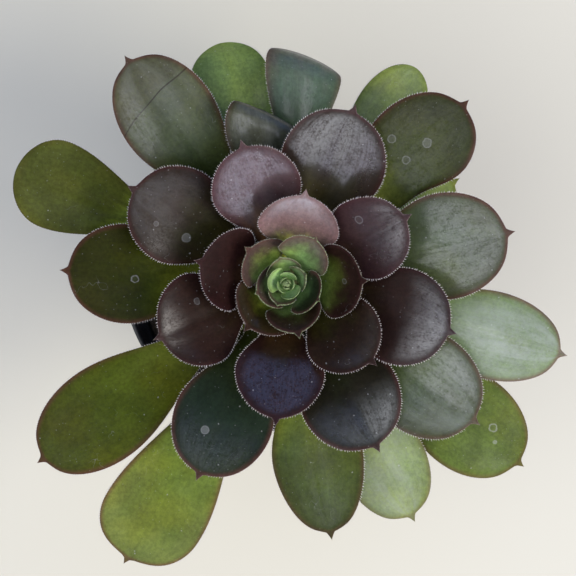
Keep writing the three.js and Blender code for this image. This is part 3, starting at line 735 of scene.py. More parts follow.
def sheen_group(name):
    """How thick the glossy waxy coat lies: none before Foot, thin along the margins, full on the outer
    blade, and broken up by streaks along the veins, by patches and by a fine grain."""
    inputs = [("Amount", "Float", 0.5), ("Foot", "Float", 0.45), ("Seed", "Float", 0.0)]
    group, take, give = new_group(name, inputs, [("Mask", "Float")])
    w = Wiring(group)
    along = w.attribute("along")
    streaks = w.noise(w.blade_place(22.0, 4.0, take["Seed"]), 1.0, 4.0, 0.65)
    patches = w.noise(w.object_place(), 420.0, 4.0, 0.6)
    grain = w.noise(w.object_place(), 1500.0, 3.0, 0.75)
    level = w.plus(w.times(streaks, 0.6), w.times(patches, 0.6))
    level = w.plus(level, w.times(grain, 0.9))
    broken = w.ramp(level, 0.76, 1.20, 0.12, 1.0)
    outer = w.ramp(along, take["Foot"], w.plus(take["Foot"], 0.24))
    margin = w.ramp(w.attribute("edge"), 0.5, 4.4, 0.12, 1.0)
    w.put(w.times(w.times(broken, outer), w.times(margin, take["Amount"])), give["Mask"])
    return group


def marks_group(name):
    """Pale specks and fine fibres: a few cells of two cell patterns as dots, and thin level lines of a
    stirred noise where a second noise is high."""
    group, take, give = new_group(name, [("Amount", "Float", 0.5)], [("Mask", "Float")])
    w = Wiring(group)
    place = w.object_place()
    stir = w.node("TexNoise", Vector=place, Scale=700.0)
    small = w.node("VectorMath", dict(operation="SCALE"), Scale=0.0006)
    w.put(stir.outputs["Color"], small.inputs[0])
    bent = w.node("VectorMath", dict(operation="ADD"))
    w.put(place, bent.inputs[0])
    w.put(small.outputs[0], bent.inputs[1])
    mask = None
    for scale, rare, radius, strength in ((1000.0, 0.76, 0.16, 0.6), (480.0, 0.86, 0.14, 0.8)):
        dots = w.node("TexVoronoi", Vector=bent.outputs[0], Scale=scale)
        picked = w.ramp(w.node("SeparateColor", Color=dots.outputs["Color"]).outputs[0], rare, rare + 0.04)
        dot = w.ramp(dots.outputs["Distance"], 0.5 * radius, radius, strength, 0.0)
        dot = w.times(dot, picked)
        mask = dot if mask is None else w.math("MAXIMUM", mask, dot)
    level = w.noise(bent.outputs[0], 160.0, 2.0, 0.5)
    line = w.ramp(w.size(w.minus(level, 0.5)), 0.0, 0.005, 0.35, 0.0)
    patch = w.ramp(w.noise(place, 75.0, 2.0, 0.5), 0.62, 0.68)
    mask = w.math("MAXIMUM", mask, w.times(line, patch))
    w.put(w.times(mask, take["Amount"]), give["Mask"])
    return group


def drop_group(name):
    """One dried drop: a pale ring at a radius from a centre, more or less filled, with a ragged outline."""
    inputs = [
        ("Centre", "Vector", None), ("Radius", "Float", 0.001),
        ("Fill", "Float", 0.5), ("Ragged", "Float", 0.2),
    ]
    group, take, give = new_group(name, inputs, [("Mask", "Float")])
    w = Wiring(group)
    place = w.object_place()
    away = w.node("VectorMath", dict(operation="DISTANCE"))
    w.put(place, away.inputs[0])
    w.put(take["Centre"], away.inputs[1])
    uneven = w.times(w.minus(w.noise(place, 900.0, 2.0, 0.5), 0.5), take["Ragged"])
    share = w.math("DIVIDE", away.outputs["Value"], take["Radius"])
    distance = w.plus(share, w.times(uneven, 2.0))
    ring = w.ramp(w.size(w.minus(distance, 1.0)), 0.05, 0.28, 0.6, 0.0)
    disc = w.times(w.ramp(distance, 0.75, 1.0, 1.0, 0.0), w.times(take["Fill"], 0.55))
    w.put(w.math("MAXIMUM", ring, disc), give["Mask"])
    return group


def crease_group(name):
    """A crease across the blade: a wavering line at a place along it, put out as a thin mask for painted
    shade along the fold, and a second mask for all that lies beyond the line."""
    inputs = [("Place", "Float", 0.8), ("Slant", "Float", 0.0), ("Length", "Float", 60.0)]
    group, take, give = new_group(name, inputs, [("Line", "Float"), ("Beyond", "Float")])
    w = Wiring(group)
    along, across = w.attribute("along"), w.attribute("across")
    middle = w.minus(take["Place"], w.times(across, take["Slant"]))
    wave = w.times(w.math("SINE", w.times(across, 7.0)), 0.15)
    past = w.plus(w.times(w.minus(along, middle), take["Length"]), wave)
    w.put(w.ramp(w.size(past), 0.05, 0.35, 1.0, 0.0), give["Line"])
    w.put(w.ramp(past, 0.0, 1.5), give["Beyond"])
    return group


def new_material(name):
    """A material with short calls for its nodes, and its own shader."""
    material = bpy.data.materials.new(name)
    material.use_nodes = True
    w = Wiring(material.node_tree)
    shader = material.node_tree.nodes["Principled BSDF"]
    return material, w, shader


def colour(values):
    """A colour property or tuple as red, green, blue and a full alpha."""
    return (*values[:3], 1.0)


def mix_colour(a, b, t):
    return tuple(mix(x, y, t) for x, y in zip(a, b))


def scaled(tint, share):
    return tuple(share * channel for channel in tint)


def add_drops(w, leaf, skin, chalk, strength):
    """Lays the leaf's dried drops over its skin, each round its own place on the blade."""
    stage = bpy.context.scene.aeonium_stage
    for drop in DROPS:
        if drop.age != leaf["age"]:
            continue
        stain = w.group(
            group_once("Dried drop", drop_group), Centre=place_seen_at(leaf, drop.pixel, stage),
            Radius=drop.radius * MM, Fill=drop.filled, Ragged=drop.ragged,
        )
        skin = w.blend(w.times(stain["Mask"], strength), skin, colour(chalk))
    return skin


def leaf_material(leaf, tones):
    """A leaf's skin: its pigment under a waxy film that is partly real and partly a painted highlight,
    specks and dried drops, the crease with its painted shade on its own leaf, the pale line along the very
    edge and the lashes, and over all of it a broken glossy coat."""
    age = leaf["age"]
    look = LOOKS[age]
    material, w, shader = new_material(f"leaf_skin_{age:02d}")
    young = float(smoothstep((age - 29) / 6))
    # Painted light: look.bright and look.foot lift blades and feet that lie in shade.
    green = mix_colour(tones.green_cool, tones.green_warm, look.yellow)
    green = scaled(mix_colour(green, tones.green_young, 0.6 * young), look.bright)
    foot = mix_colour(tones.green_foot, tones.green_young, young)
    foot = mix_colour(foot, tones.foot_dark, look.flush * (1.0 - float(smoothstep((age - 27) / 4))))
    foot = scaled(foot, look.foot)
    flushed = mix_colour(tones.maroon, tones.rose, look.rose)
    margin = mix_colour(tones.margin_green, tones.margin, look.flush * (1.0 - look.rose))
    margin = mix_colour(margin, tones.margin_young, young)
    seed = 3.7 * age
    pigment = w.group(
        group_once("Leaf pigment", pigment_group),
        Foot=colour(foot), Blade=colour(green), Flush=colour(flushed), Margin=colour(margin),
        Start=look.start, Amount=look.flush, Band=look.band * (1.0 - 0.5 * look.flush), Seed=seed,
    )
    wax_and_highlight_layer = w.group(group_once("Waxy bloom", wax_and_highlight_group), Amount=look.wax, Foot=look.gloss, Seed=seed)
    marks = w.group(group_once("Leaf marks", marks_group), Amount=0.9 - 0.5 * young)
    # The waxy film's colour is partly a painted highlight: grey-green over green blades, grey over maroon
    # ones and silver over rosy ones.
    wax_and_highlight_tint = mix_colour(tones.wax_and_highlight_green, tones.wax_and_highlight_dark, look.flush)
    wax_and_highlight_tint = mix_colour(wax_and_highlight_tint, tones.silver_highlight, look.flush * look.rose)
    skin = w.blend(wax_and_highlight_layer["Mask"], pigment["Color"], colour(wax_and_highlight_tint))
    skin = w.blend(w.times(marks["Mask"], 0.4), skin, colour(tones.chalk))
    skin = add_drops(w, leaf, skin, tones.chalk, 0.4 - 0.2 * look.flush)
    if age == CREASED_AGE:
        crease = w.group(
            group_once("Crease", crease_group), Place=CREASE_PLACE, Slant=CREASE_SLANT, Length=leaf["length"]
        )
        # Beyond the crease the blade turns a little toward the margin's colour; the crease's line is painted
        # shade, dark maroon along the fold.
        skin = w.blend(w.times(crease["Beyond"], 0.10), skin, colour(margin))
        skin = w.blend(w.times(crease["Line"], 0.7), skin, colour(tones.maroon))
    rim = mix_colour(tones.rim, tones.rim_young, young)
    line = w.ramp(w.attribute("edge"), 0.03, 0.16 + 0.06 * young, 0.55, 0.0)
    beads = w.ramp(w.noise(w.object_place(), 1900.0, 1.0, 0.5), 0.42, 0.58, 0.25, 1.0)
    skin = w.blend(w.times(line, beads), skin, colour(rim))
    skin = w.blend(w.attribute("lash"), skin, colour(scaled(tones.lash, 1.0 - 0.45 * young)))
    w.put(skin, shader.inputs["Base Color"])
    gloss = w.group(group_once("Glossy sheen", sheen_group), Amount=look.sheen, Foot=look.gloss, Seed=seed)
    w.put(gloss["Mask"], shader.inputs["Coat Weight"])
    shader.inputs["Specular IOR Level"].default_value = 0.03 + 0.04 * look.sheen
    rough = w.plus(0.30, w.times(wax_and_highlight_layer["Height"], 0.18))
    w.put(w.plus(rough, w.times(wax_and_highlight_layer["Mask"], 0.25)), shader.inputs["Roughness"])
    folds = w.times(w.noise(w.object_place(), 90.0, 2.0, 0.5), 4.0)
    bump = w.node("Bump", Strength=0.4, Distance=0.0004, Height=w.plus(wax_and_highlight_layer["Height"], folds))
    w.put(bump.outputs[0], shader.inputs["Normal"])
    for socket, value in LEAF_SURFACE.items():
        shader.inputs[socket].default_value = value
    return material


def plastic_material(name, tint):
    """Black moulded plastic: faint flow streaks up the wall, fine texture and a little dust."""
    material, w, shader = new_material(name)
    place = w.object_place()
    tall_place, _ = w.drawn_out(0.15)
    flow = w.noise(tall_place, 120.0, 4.0, 0.6)
    dust = w.noise(place, 150.0, 5.0, 0.6)
    grit = w.noise(place, 2600.0, 2.0, 0.6)
    haze = w.times(w.ramp(dust, 0.42, 0.80), 0.07)
    w.put(w.blend(haze, colour(tint), colour(POT_DUST)), shader.inputs["Base Color"])
    rough = w.plus(0.36, w.times(flow, 0.14))
    w.put(w.plus(rough, haze), shader.inputs["Roughness"])
    height = w.plus(w.times(grit, 0.5), flow)
    bump = w.node("Bump", Strength=0.14, Distance=0.0004, Height=height)
    w.put(bump.outputs[0], shader.inputs["Normal"])
    return material


def soil_material(name, dark, light):
    """Damp crumbly soil: two browns mixed by noise, rough, with a bump at two scales. The tint attribute
    turns a grain pale or reddish."""
    material, w, shader = new_material(name)
    place = w.object_place()
    lumps = w.noise(place, 420.0, 5.0, 0.65)
    fine = w.noise(place, 2200.0, 3.0, 0.6)
    base = w.blend(w.ramp(lumps, 0.35, 0.72), colour(dark), colour(light))
    tint = w.attribute("tint")
    base = w.blend(w.ramp(tint, 0.25, 0.5), base, colour(BARK_CHIP))
    base = w.blend(w.ramp(tint, 0.75, 0.95), base, colour(PERLITE))
    w.put(base, shader.inputs["Base Color"])
    shader.inputs["Roughness"].default_value = 0.92
    height = w.plus(lumps, w.times(fine, 0.5))
    bump = w.node("Bump", Strength=0.7, Distance=0.0012, Height=height)
    w.put(bump.outputs[0], shader.inputs["Normal"])
    return material


def bark_material(name, young, old, scar):
    """Stem skin: green-brown among the leaves, grey-brown bark below, paler on the leaf scars."""
    material, w, shader = new_material(name)
    tall_place, height = w.drawn_out(0.3)
    cork = w.noise(tall_place, 520.0, 5.0, 0.65)
    height = w.ramp(height, 0.096, 0.125)
    base = w.blend(height, colour(old), colour(young))
    base = w.blend(w.ramp(cork, 0.42, 0.7, 0.0, 0.7), base, colour(BARK_CRACK))
    base = w.blend(w.times(w.attribute("scar"), 0.75), base, colour(scar))
    w.put(base, shader.inputs["Base Color"])
    shader.inputs["Roughness"].default_value = 0.78
    bump = w.node("Bump", Strength=0.5, Distance=0.0006, Height=cork)
    w.put(bump.outputs[0], shader.inputs["Normal"])
    return material


def plain_material(name, tint, roughness):
    """One colour and one roughness all over."""
    material, _, shader = new_material(name)
    shader.inputs["Base Color"].default_value = colour(tint)
    shader.inputs["Roughness"].default_value = roughness
    return material


def colour_property(name, description, default):
    return FloatVectorProperty(
        name=name, description=description, default=default, size=3, subtype="COLOR"
    )


def length_property(name, description, default, precision=2):
    """A length in metres."""
    return FloatProperty(
        name=name, description=description, default=default, unit="LENGTH", precision=precision
    )


# Sizes and colours that a user would change
class PotSizes(bpy.types.PropertyGroup):
    rim_radius: length_property("Rim radius", "Outer radius of the lip", 0.0525)
    height: length_property("Height", "From the base to the lip", 0.092)
    base_radius: length_property("Base radius", "Outer radius at the base", 0.039)
    wall: length_property("Wall", "Thickness of the wall", 0.0012)
    collar: length_property("Collar", "Height of the collar round the mouth", 0.008)
    holes: IntProperty(name="Holes", description="Number of drain holes", default=8, min=0)
    plastic: colour_property("Plastic", "Colour of the plastic", (0.010, 0.010, 0.0115))


class SoilSizes(bpy.types.PropertyGroup):
    top: length_property("Top", "Height of the soil at the wall", 0.081)
    mound: length_property("Mound", "How far it rises to the stem", 0.0025)
    crumb: length_property("Crumb", "Height of its lumps", 0.0014)
    grains: IntProperty(name="Grains", description="Number of loose grains on top", default=620, min=0)
    dark: colour_property("Dark", "Colour of damp soil", (0.016, 0.010, 0.006))
    light: colour_property("Light", "Colour of dry soil", (0.065, 0.042, 0.026))


class StemSizes(bpy.types.PropertyGroup):
    radius: length_property("Radius", "Radius below the leaves", 0.0074)
    buried: length_property("Buried", "How deep it stands in the soil", 0.024)
    young: colour_property("Young", "Colour among the leaves", (0.16, 0.17, 0.065))
    old: colour_property("Old", "Colour of the bark", (0.20, 0.145, 0.10))
    scar: colour_property("Scar", "Colour of the leaf scars", (0.34, 0.27, 0.20))


class LeafTones(bpy.types.PropertyGroup):
    rows: IntProperty(name="Rows", description="Rings of points along a blade", default=58, min=12)
    columns: IntProperty(name="Columns", description="Points across a blade", default=34, min=8)
    lash_spacing: length_property("Lash spacing", "Distance between lashes", 0.00075, precision=5)
    lash_length: length_property("Lash length", "Length of a lash", 0.00060, precision=5)
    green_cool: colour_property("Cool green", "Blue-green of a shaded blade", (0.10, 0.17, 0.075))
    green_warm: colour_property("Warm green", "Yellow-green of a lit blade", (0.17, 0.23, 0.010))
    green_foot: colour_property("Foot green", "Green near the stem", (0.100, 0.145, 0.018))
    green_young: colour_property("Young green", "Green of the heart", (0.118, 0.205, 0.070))
    foot_dark: colour_property("Dark foot", "Brown-red near the stem", (0.050, 0.021, 0.010))
    rose: colour_property("Rose", "Rosy flush of a pale leaf", (0.150, 0.076, 0.092))
    maroon: colour_property("Maroon", "Dark flush", (0.0145, 0.0054, 0.0048))
    margin: colour_property("Margin", "Band along the margin", (0.028, 0.0085, 0.0110))
    margin_green: colour_property("Russet margin", "Margin of a green leaf", (0.085, 0.026, 0.022))
    margin_young: colour_property("Young margin", "Margin of a heart leaf", (0.080, 0.034, 0.030))
    rim_young: colour_property("Young rim", "Edge of a heart leaf", (0.24, 0.32, 0.16))
    rim: colour_property("Rim", "Pale line on the very edge", (0.22, 0.17, 0.16))
    lash: colour_property("Lash", "Colour of the lashes", (0.62, 0.57, 0.54))
    # These three colours of the waxy film are partly real and partly a painted highlight: the sheen the
    # blades reflect.
    wax_and_highlight_green: colour_property("Wax and highlight on green", "Wax over a green blade", (0.25, 0.29, 0.24))
    wax_and_highlight_dark: colour_property("Wax and highlight on maroon", "Wax over a dark blade", (0.21, 0.20, 0.21))
    silver_highlight: colour_property("Silver highlight", "Wax over a rosy blade", (0.34, 0.33, 0.35))
    chalk: colour_property("Chalk", "Dried specks", (0.45, 0.45, 0.45))


class StageLooks(bpy.types.PropertyGroup):
    floor: colour_property("Floor", "Colour of the floor", (0.515, 0.492, 0.412))
    sky: FloatProperty(name="Sky", description="Strength of the light from all round", default=1.0)
    key: FloatProperty(name="Key", description="Power of the main light", default=84.0)
    camera_height: length_property("Camera height", "Above the floor", 0.6)
    camera_x: length_property("Camera x", "Right of the pot's middle", 0.0012)
    camera_y: length_property("Camera y", "Behind the pot's middle", -0.0063)
    lens: FloatProperty(name="Lens", description="Focal length in mm on a 36 mm wide sensor", default=98.6)


def finish_piece(piece, material, node):
    """Gives a piece its material, and lets it ride in place of its CAD node."""
    piece.data.materials.append(material)
    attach(piece, "root")
    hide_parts(node)


# How far the wall's top end lies inside the rim, in millimetres
COLLAR_STEP = 2.6


def pot_wall_radius(pot, z):
    """Outer radius of the tapered wall below the collar, in millimetres."""
    base, rim = pot.base_radius / MM, pot.rim_radius / MM
    foot = (pot.height - pot.collar) / MM
    return mix(base, rim - COLLAR_STEP, z / foot)


class AEONIUM_OT_pot(bpy.types.Operator):
    """Turn the nursery pot: a tapered cup with a ribbed collar, a rolled lip and drain holes"""

    bl_idname = "aeonium.pot"
    bl_label = "Pot"

    SIDES = 144
    FLOOR = 1.8
    HOLE_RADIUS = 4.5
    HOLE_CIRCLE = 32.0
    HOLE_SIDES = 24
    CUT_HEIGHTS = (-2.0, 4.0)
    FLAT_RADIUS = 20.0
    ROUNDING = 1.5
    LIP = 0.78

    def profile(self, pot):
        """Points of [radius, height] from under the base, up outside, over the lip and down to the floor."""
        top, rim, wall, lip = pot.height / MM, pot.rim_radius / MM, pot.wall / MM, self.LIP
        foot = (pot.height - pot.collar) / MM
        outer = [[self.FLAT_RADIUS, 0.0]]
        angles = np.linspace(0.0, 0.5 * math.pi, 6)
        base = pot_wall_radius(pot, self.ROUNDING) - self.ROUNDING
        foot_round = self.ROUNDING
        outer += [[base + foot_round * math.sin(a), foot_round - foot_round * math.cos(a)] for a in angles]
        outer += [[pot_wall_radius(pot, z), z] for z in np.linspace(3.0, foot - 1.4, 40)]
        outer += [[rim - 2.35, foot - 1.0], [rim - 1.4, foot - 0.35], [rim - 0.95, foot + 0.1]]
        outer += [[rim - 0.85 + 0.12 * z / 6.0, foot + z] for z in np.linspace(0.7, 6.2, 12)]
        outer += [[rim - 0.35, top - 1.5]]
        roll = np.linspace(-0.15 * math.pi, 1.15 * math.pi, 14)
        outer += [[rim - lip + lip * math.cos(a), top - lip + lip * math.sin(a)] for a in roll]
        outer += [[rim - 1.75, top - 2.4], [rim - 2.2, foot + 1.2], [rim - 3.6, foot - 0.2]]
        outer += [[pot_wall_radius(pot, z) - wall, z] for z in np.linspace(foot - 2.0, self.FLOOR + 1.4, 24)]
        outer += [[pot_wall_radius(pot, self.FLOOR) - wall - 1.3, self.FLOOR]]
        outer += [[self.FLAT_RADIUS, self.FLOOR]]
        return np.array(outer)

    def execute(self, context):
        pot = context.scene.aeonium_pot
        profile = self.profile(pot)
        rings = ring(profile[:, :1], profile[:, 1:], full_turn(self.SIDES))
        piece = build_mesh("nursery_pot", *capped(rings))
        self.drill(context, piece, pot.holes)
        finish_piece(piece, plastic_material("pot_plastic", pot.plastic), "pot")
        return {"FINISHED"}

    def drill(self, context, piece, holes):
        """Cuts the drain holes with one set of upright cylinders, as an applied Boolean."""
        parts = []
        turn = full_turn(self.HOLE_SIDES)
        for i in range(holes):
            angle = 2.0 * math.pi * (i + 0.5) / holes
            centre = (self.HOLE_CIRCLE * math.cos(angle), self.HOLE_CIRCLE * math.sin(angle))
            rings = [ring(self.HOLE_RADIUS, z, turn, centre) for z in self.CUT_HEIGHTS]
            parts.append((*capped(np.stack(rings)), {}))
        points, quads, tris, _ = join(parts)
        cutter = build_mesh("drain_cutter", points, quads, tris)
        cut = piece.modifiers.new("Drain holes", "BOOLEAN")
        cut.object = cutter
        cut.solver = "EXACT"
        context.view_layer.update()
        graph = context.evaluated_depsgraph_get()
        piece.data = bpy.data.meshes.new_from_object(piece.evaluated_get(graph))
        piece.modifiers.clear()
        bpy.data.objects.remove(cutter)


class AEONIUM_OT_soil(bpy.types.Operator):
    """Fill the pot with crumbled soil, with loose grains, perlite and bark chips on top"""

    bl_idname = "aeonium.soil"
    bl_label = "Soil"

    SIDES = 160
    RINGS = 46
    FOOT = 2.1
    CORNER = 2.6
    GAP = 0.45
    STEM_GAP = 0.35
    GRIT = 0.09
    # Each grain draws a number from 0 to 1: bark chips start at the first of these, perlite at the second
    BARK_FROM = 0.66
    PERLITE_FROM = 0.86

    def surface(self, soil, edge, angle, radius):
        """Height of the soil: a mound towards the stem plus ripples of several sizes and directions."""
        share = radius / edge
        x, y = radius * np.cos(angle), radius * np.sin(angle)
        crumb = soil.crumb / MM
        ripple = np.sin(0.9 * x + 1.3 * y) * np.cos(1.1 * y - 0.4 * x)
        ripple = ripple + 0.6 * np.sin(2.3 * x - 1.1 * y + 1.0) * np.cos(1.9 * x + 2.1 * y)
        ripple = ripple + 0.4 * np.sin(4.1 * x + 0.7) * np.sin(3.7 * y + 2.0)
        mound = soil.mound / MM * (1.0 - share ** 2)
        return soil.top / MM + mound + 0.35 * crumb * ripple * (1.0 - share ** 8)

    def execute(self, context):
        soil, pot, stem = context.scene.aeonium_soil, context.scene.aeonium_pot, context.scene.aeonium_stem
        random = np.random.default_rng(SEED)
        wall = pot.wall / MM
        edge = pot_wall_radius(pot, soil.top / MM) - wall - self.GAP
        angle = full_turn(self.SIDES)
        hole = stem.radius / MM + self.STEM_GAP
        share = np.linspace(1.0, hole / edge, self.RINGS)[:, None]
        centre_x, centre_y = stem_centre(soil.top / MM + soil.mound / MM)
        shift = (1.0 - share) / (1.0 - share[-1])
        x = edge * share * np.cos(angle) + shift * centre_x
        y = edge * share * np.sin(angle) + shift * centre_y
        top = self.surface(soil, edge, np.arctan2(y, x), np.hypot(x, y))
        top = top + random.normal(0.0, self.GRIT, top.shape) * (share < 0.999)
        corner = self.FOOT + self.CORNER
        base = ring(pot_wall_radius(pot, self.FOOT) - wall - self.CORNER, self.FOOT, angle)
        side = ring(pot_wall_radius(pot, corner) - wall - self.GAP, corner, angle)
        depth = soil.top / MM - stem.buried / MM
        well = ring(hole, depth, angle, stem_centre(depth))
        points, quads, tris = capped(np.concatenate([[base, side], np.stack([x, y, top], axis=-1), [well]]))
        body = (points, quads, tris, dict(tint=np.zeros(len(points))))
        grains = self.grains(soil, edge, hole, random)
        piece = build_mesh("potting_soil", *join([body, grains]))
        finish_piece(piece, soil_material("damp_soil", soil.dark, soil.light), "soil")
        return {"FINISHED"}

    def grains(self, soil, edge, hole, random):
        """Loose grains sunk into the top: each is a stretched octahedron with seeded corners. Most are
        crumbs, some are bark chips and some perlite, which the tint attribute tells apart."""
        count = soil.grains
        angle = random.uniform(0.0, 2.0 * math.pi, count)
        inner, outer = hole + 3.0, edge - 2.0
        radius = np.sqrt(random.uniform(inner ** 2, outer ** 2, count))
        kind = random.uniform(0.0, 1.0, count)
        bark = (kind > self.BARK_FROM) & (kind <= self.PERLITE_FROM)
        tint = np.where(kind > self.PERLITE_FROM, 1.0, np.where(bark, 0.6, 0.0))
        size = random.uniform(0.45, 1.5, count) * np.where(kind > self.PERLITE_FROM, 1.1, 1.0)
        corners = np.array([[1, 0, 0], [0, 1, 0], [-1, 0, 0], [0, -1, 0], [0, 0, 1], [0, 0, -1]], float)
        shape = corners * random.uniform(0.6, 1.35, (count, 6, 1)) * size[:, None, None]
        shape *= np.where(bark, 1.0, 0.0)[:, None, None] * [0.9, 0.1, -0.4] + [1.0, 1.0, 0.8]
        spin = random.uniform(0.0, 2.0 * math.pi, count)
        c, s = np.cos(spin)[:, None], np.sin(spin)[:, None]
        x, y = shape[..., 0], shape[..., 1]
        turned = np.stack([c * x - s * y, s * x + c * y, shape[..., 2]], axis=-1)
        place = ring(radius, self.surface(soil, edge, angle, radius) + 0.12 * size, angle)
        order = [[0, 1, 4], [1, 2, 4], [2, 3, 4], [3, 0, 4], [1, 0, 5], [2, 1, 5], [3, 2, 5], [0, 3, 5]]
        tris = (6 * np.arange(count)[:, None, None] + order).reshape(-1, 3)
        points = (turned + place[:, None, :]).reshape(-1, 3)
        return points, np.zeros((0, 4), int), tris, dict(tint=np.repeat(tint, 6))


def stem_centre(z):
    """Where the leaning stem's axis stands at a height, in millimetres."""
    return ROSETTE_FOOT[0], ROSETTE_FOOT[1] - (z - ROSETTE_FOOT[2]) * math.tan(ROSETTE_LEAN)


class AEONIUM_OT_stem(bpy.types.Operator):
    """Grow the leaning stem, with the scars of its fallen leaves, narrowing up through the rosette"""

    bl_idname = "aeonium.stem"
    bl_label = "Stem"

    SIDES = 72
    SCARS = 30
    SCAR_RISE = 0.9
    LOWEST_SCAR = -27.0
    SCAR_HALF_WIDTH = 4.2
    SCAR_HALF_HEIGHT = 0.85

    def radius(self, stem, z):
        """The stem's radius stays clear of every leaf foot inside the rosette."""
        knee = LEAF_RISE * YOUNG_AGE
        age = np.where(z < knee, z / LEAF_RISE, YOUNG_AGE + (z - knee) / YOUNG_RISE)
        age = np.clip(age, 0.0, HEART_AGE)
        u = age / OLDEST_TO_HEART
        narrowing = np.maximum(0.0, (age - NARROWING_AGE) / (OLDEST_TO_HEART - NARROWING_AGE))
        foot = mix(LEAF_FOOT_RADIUS, HEART_FOOT_RADIUS, narrowing)
        slope = np.radians(mix(*FOOT_SLOPES, u ** FOOT_POWER))
        clear = foot - 0.5 * mix(*FOOT_THICKNESSES, u) * np.sin(slope) - LEAST_GAP
        return np.minimum(stem.radius / MM, clear)

    def execute(self, context):
        stem, soil = context.scene.aeonium_stem, context.scene.aeonium_soil
        foot = (soil.top - stem.buried) / MM - ROSETTE_FOOT[2]
        top = habit(HEART_AGE)["foot_height"] - 0.3
        lower = np.linspace(foot, self.LOWEST_SCAR, 8)[:-1]
        upper = np.linspace(0.0, top, 40)[1:]
        z = np.concatenate([lower, np.linspace(self.LOWEST_SCAR, 0.0, 110), upper])
        z, angle = np.meshgrid(z, full_turn(self.SIDES), indexing="ij")
        radius = self.radius(stem, z)
        scar = np.zeros_like(z)
        ridge = np.zeros_like(z)
        for i in range(self.SCARS):
            age = FALLEN_AGE - i
            turn = FIRST_TURN + GOLDEN_TURN * age
            height = self.SCAR_RISE * age
            off = (angle - turn + math.pi) % (2.0 * math.pi) - math.pi
            wide, tall = off * radius / self.SCAR_HALF_WIDTH, (z - height) / self.SCAR_HALF_HEIGHT
            inside = wide ** 2 + tall ** 2 + 0.4 * np.abs(wide)
            scar = np.maximum(scar, np.exp(-((inside / 0.75) ** 2)))
            ridge = np.maximum(ridge, np.exp(-((inside - 1.15) / 0.4) ** 2))
        bare = smoothstep((z + 26.5) / 2.0) * smoothstep((1.2 - z) / 1.0)
        radius = radius - bare * (0.18 + 0.22 * scar - 0.16 * ridge)
        points, quads, tris = capped(lean(ring(radius, z, angle)))
        scars = np.append((scar * bare).ravel(), [0.0, 0.0])
        piece = build_mesh("stem_bark", points, quads, tris, dict(scar=scars))
        finish_piece(piece, bark_material("stem_bark", stem.young, stem.old, stem.scar), "stem")
        return {"FINISHED"}


def grow_blades(context, ages):
    """Makes the blades of a range of ages, each with its lashes and its own material."""
    tones = context.scene.aeonium_leaves
    for own in LEAVES:
        if own["age"] not in ages:
            continue
        random = np.random.default_rng(SEED + own["age"])
        leaf = grow_leaf(own)
        leaf["wave"] = random.uniform(0.0, 2.0 * math.pi, 4)
        sets = [blade(leaf, tones.rows, tones.columns)]
        size = mix(1.0, 0.6, float(smoothstep((own["age"] - 26) / 8)))
        tall = size * tones.lash_length / MM
        sets += lashes(leaf, random, tones.lash_spacing / MM, tall, size * LASH_HALF)
        points, quads, tris, attributes = join(sets)
        piece = build_mesh(f"blade_{own['age']:02d}", lean(points), quads, tris, attributes)
        finish_piece(piece, leaf_material(leaf, tones), f"leaf_{own['age']:02d}")


class AEONIUM_OT_outer_leaves(bpy.types.Operator):
    """Grow the oldest leaves, green and spreading"""

    bl_idname = "aeonium.outer_leaves"
    bl_label = "Outer leaves"

    def execute(self, context):
        grow_blades(context, range(DARK_AGE))
        return {"FINISHED"}


class AEONIUM_OT_ring_leaves(bpy.types.Operator):
    """Grow the dark leaves of the middle ring"""

    bl_idname = "aeonium.ring_leaves"
    bl_label = "Ring leaves"

    def execute(self, context):
        grow_blades(context, range(DARK_AGE, PALE_AGE))
        return {"FINISHED"}


class AEONIUM_OT_young_leaves(bpy.types.Operator):
    """Grow the young leaves round the heart"""

    bl_idname = "aeonium.young_leaves"
    bl_label = "Young leaves"

    def execute(self, context):
        grow_blades(context, range(PALE_AGE, HEART_AGE))
        return {"FINISHED"}


class AEONIUM_OT_heart(bpy.types.Operator):
    """Close the youngest leaves round the growing point"""

    bl_idname = "aeonium.heart"
    bl_label = "Heart"

    COUNT = 12
    SHRINK = 0.82

    def execute(self, context):
        tones = context.scene.aeonium_leaves
        foot = habit(HEART_AGE)["foot_height"]
        sets = [self.core(foot)]
        for i in range(self.COUNT):
            size = self.SHRINK ** i
            length = 1.6 + 7.0 * size
            mucro = 0.5 * size + 0.1
            own = dict(age=HEART_AGE + i, turn=0.0, reach=6.0, half=4.3 * size, mucro=mucro, claw=0.7)
            leaf = grow_leaf(own)
            leaf.update(foot_radius=0.25 + 1.7 * size, foot_height=foot + 0.6 + 0.22 * i)
            leaf.update(foot_slope=math.radians(48.0 + 2.0 * i), tip_slope=math.radians(82.0 + 4.0 * i))
            leaf.update(foot_thickness=0.6, belly_thickness=0.6, edge_thickness=0.2)
            leaf.update(length=length, body_end=1.0 - mucro / length)
            sets.append(blade(leaf, 30, 18))
        points, quads, tris, attributes = join(sets)
        piece = build_mesh("heart_bud", lean(points), quads, tris, attributes)
        finish_piece(piece, leaf_material(dict(age=HEART_AGE), tones), "heart")
        return {"FINISHED"}

    def core(self, foot):
        """The growing point: a small blunt cone that every heart leaf stands on."""
        share = np.linspace(0.0, 1.0, 12)[:, None]
        radius = CORE_RADIUS * np.sqrt(np.maximum(0.0, 1.0 - share ** 2)) * 0.999 + 0.01
        points, quads, tris = capped(ring(radius, foot + CORE_HEIGHT * share, full_turn(32)))
        zero = np.zeros(len(points))
        attributes = dict(along=zero + 0.5, across=zero, edge=zero + 2.0, under=zero, lash=zero)
        return points, quads, tris, attributes


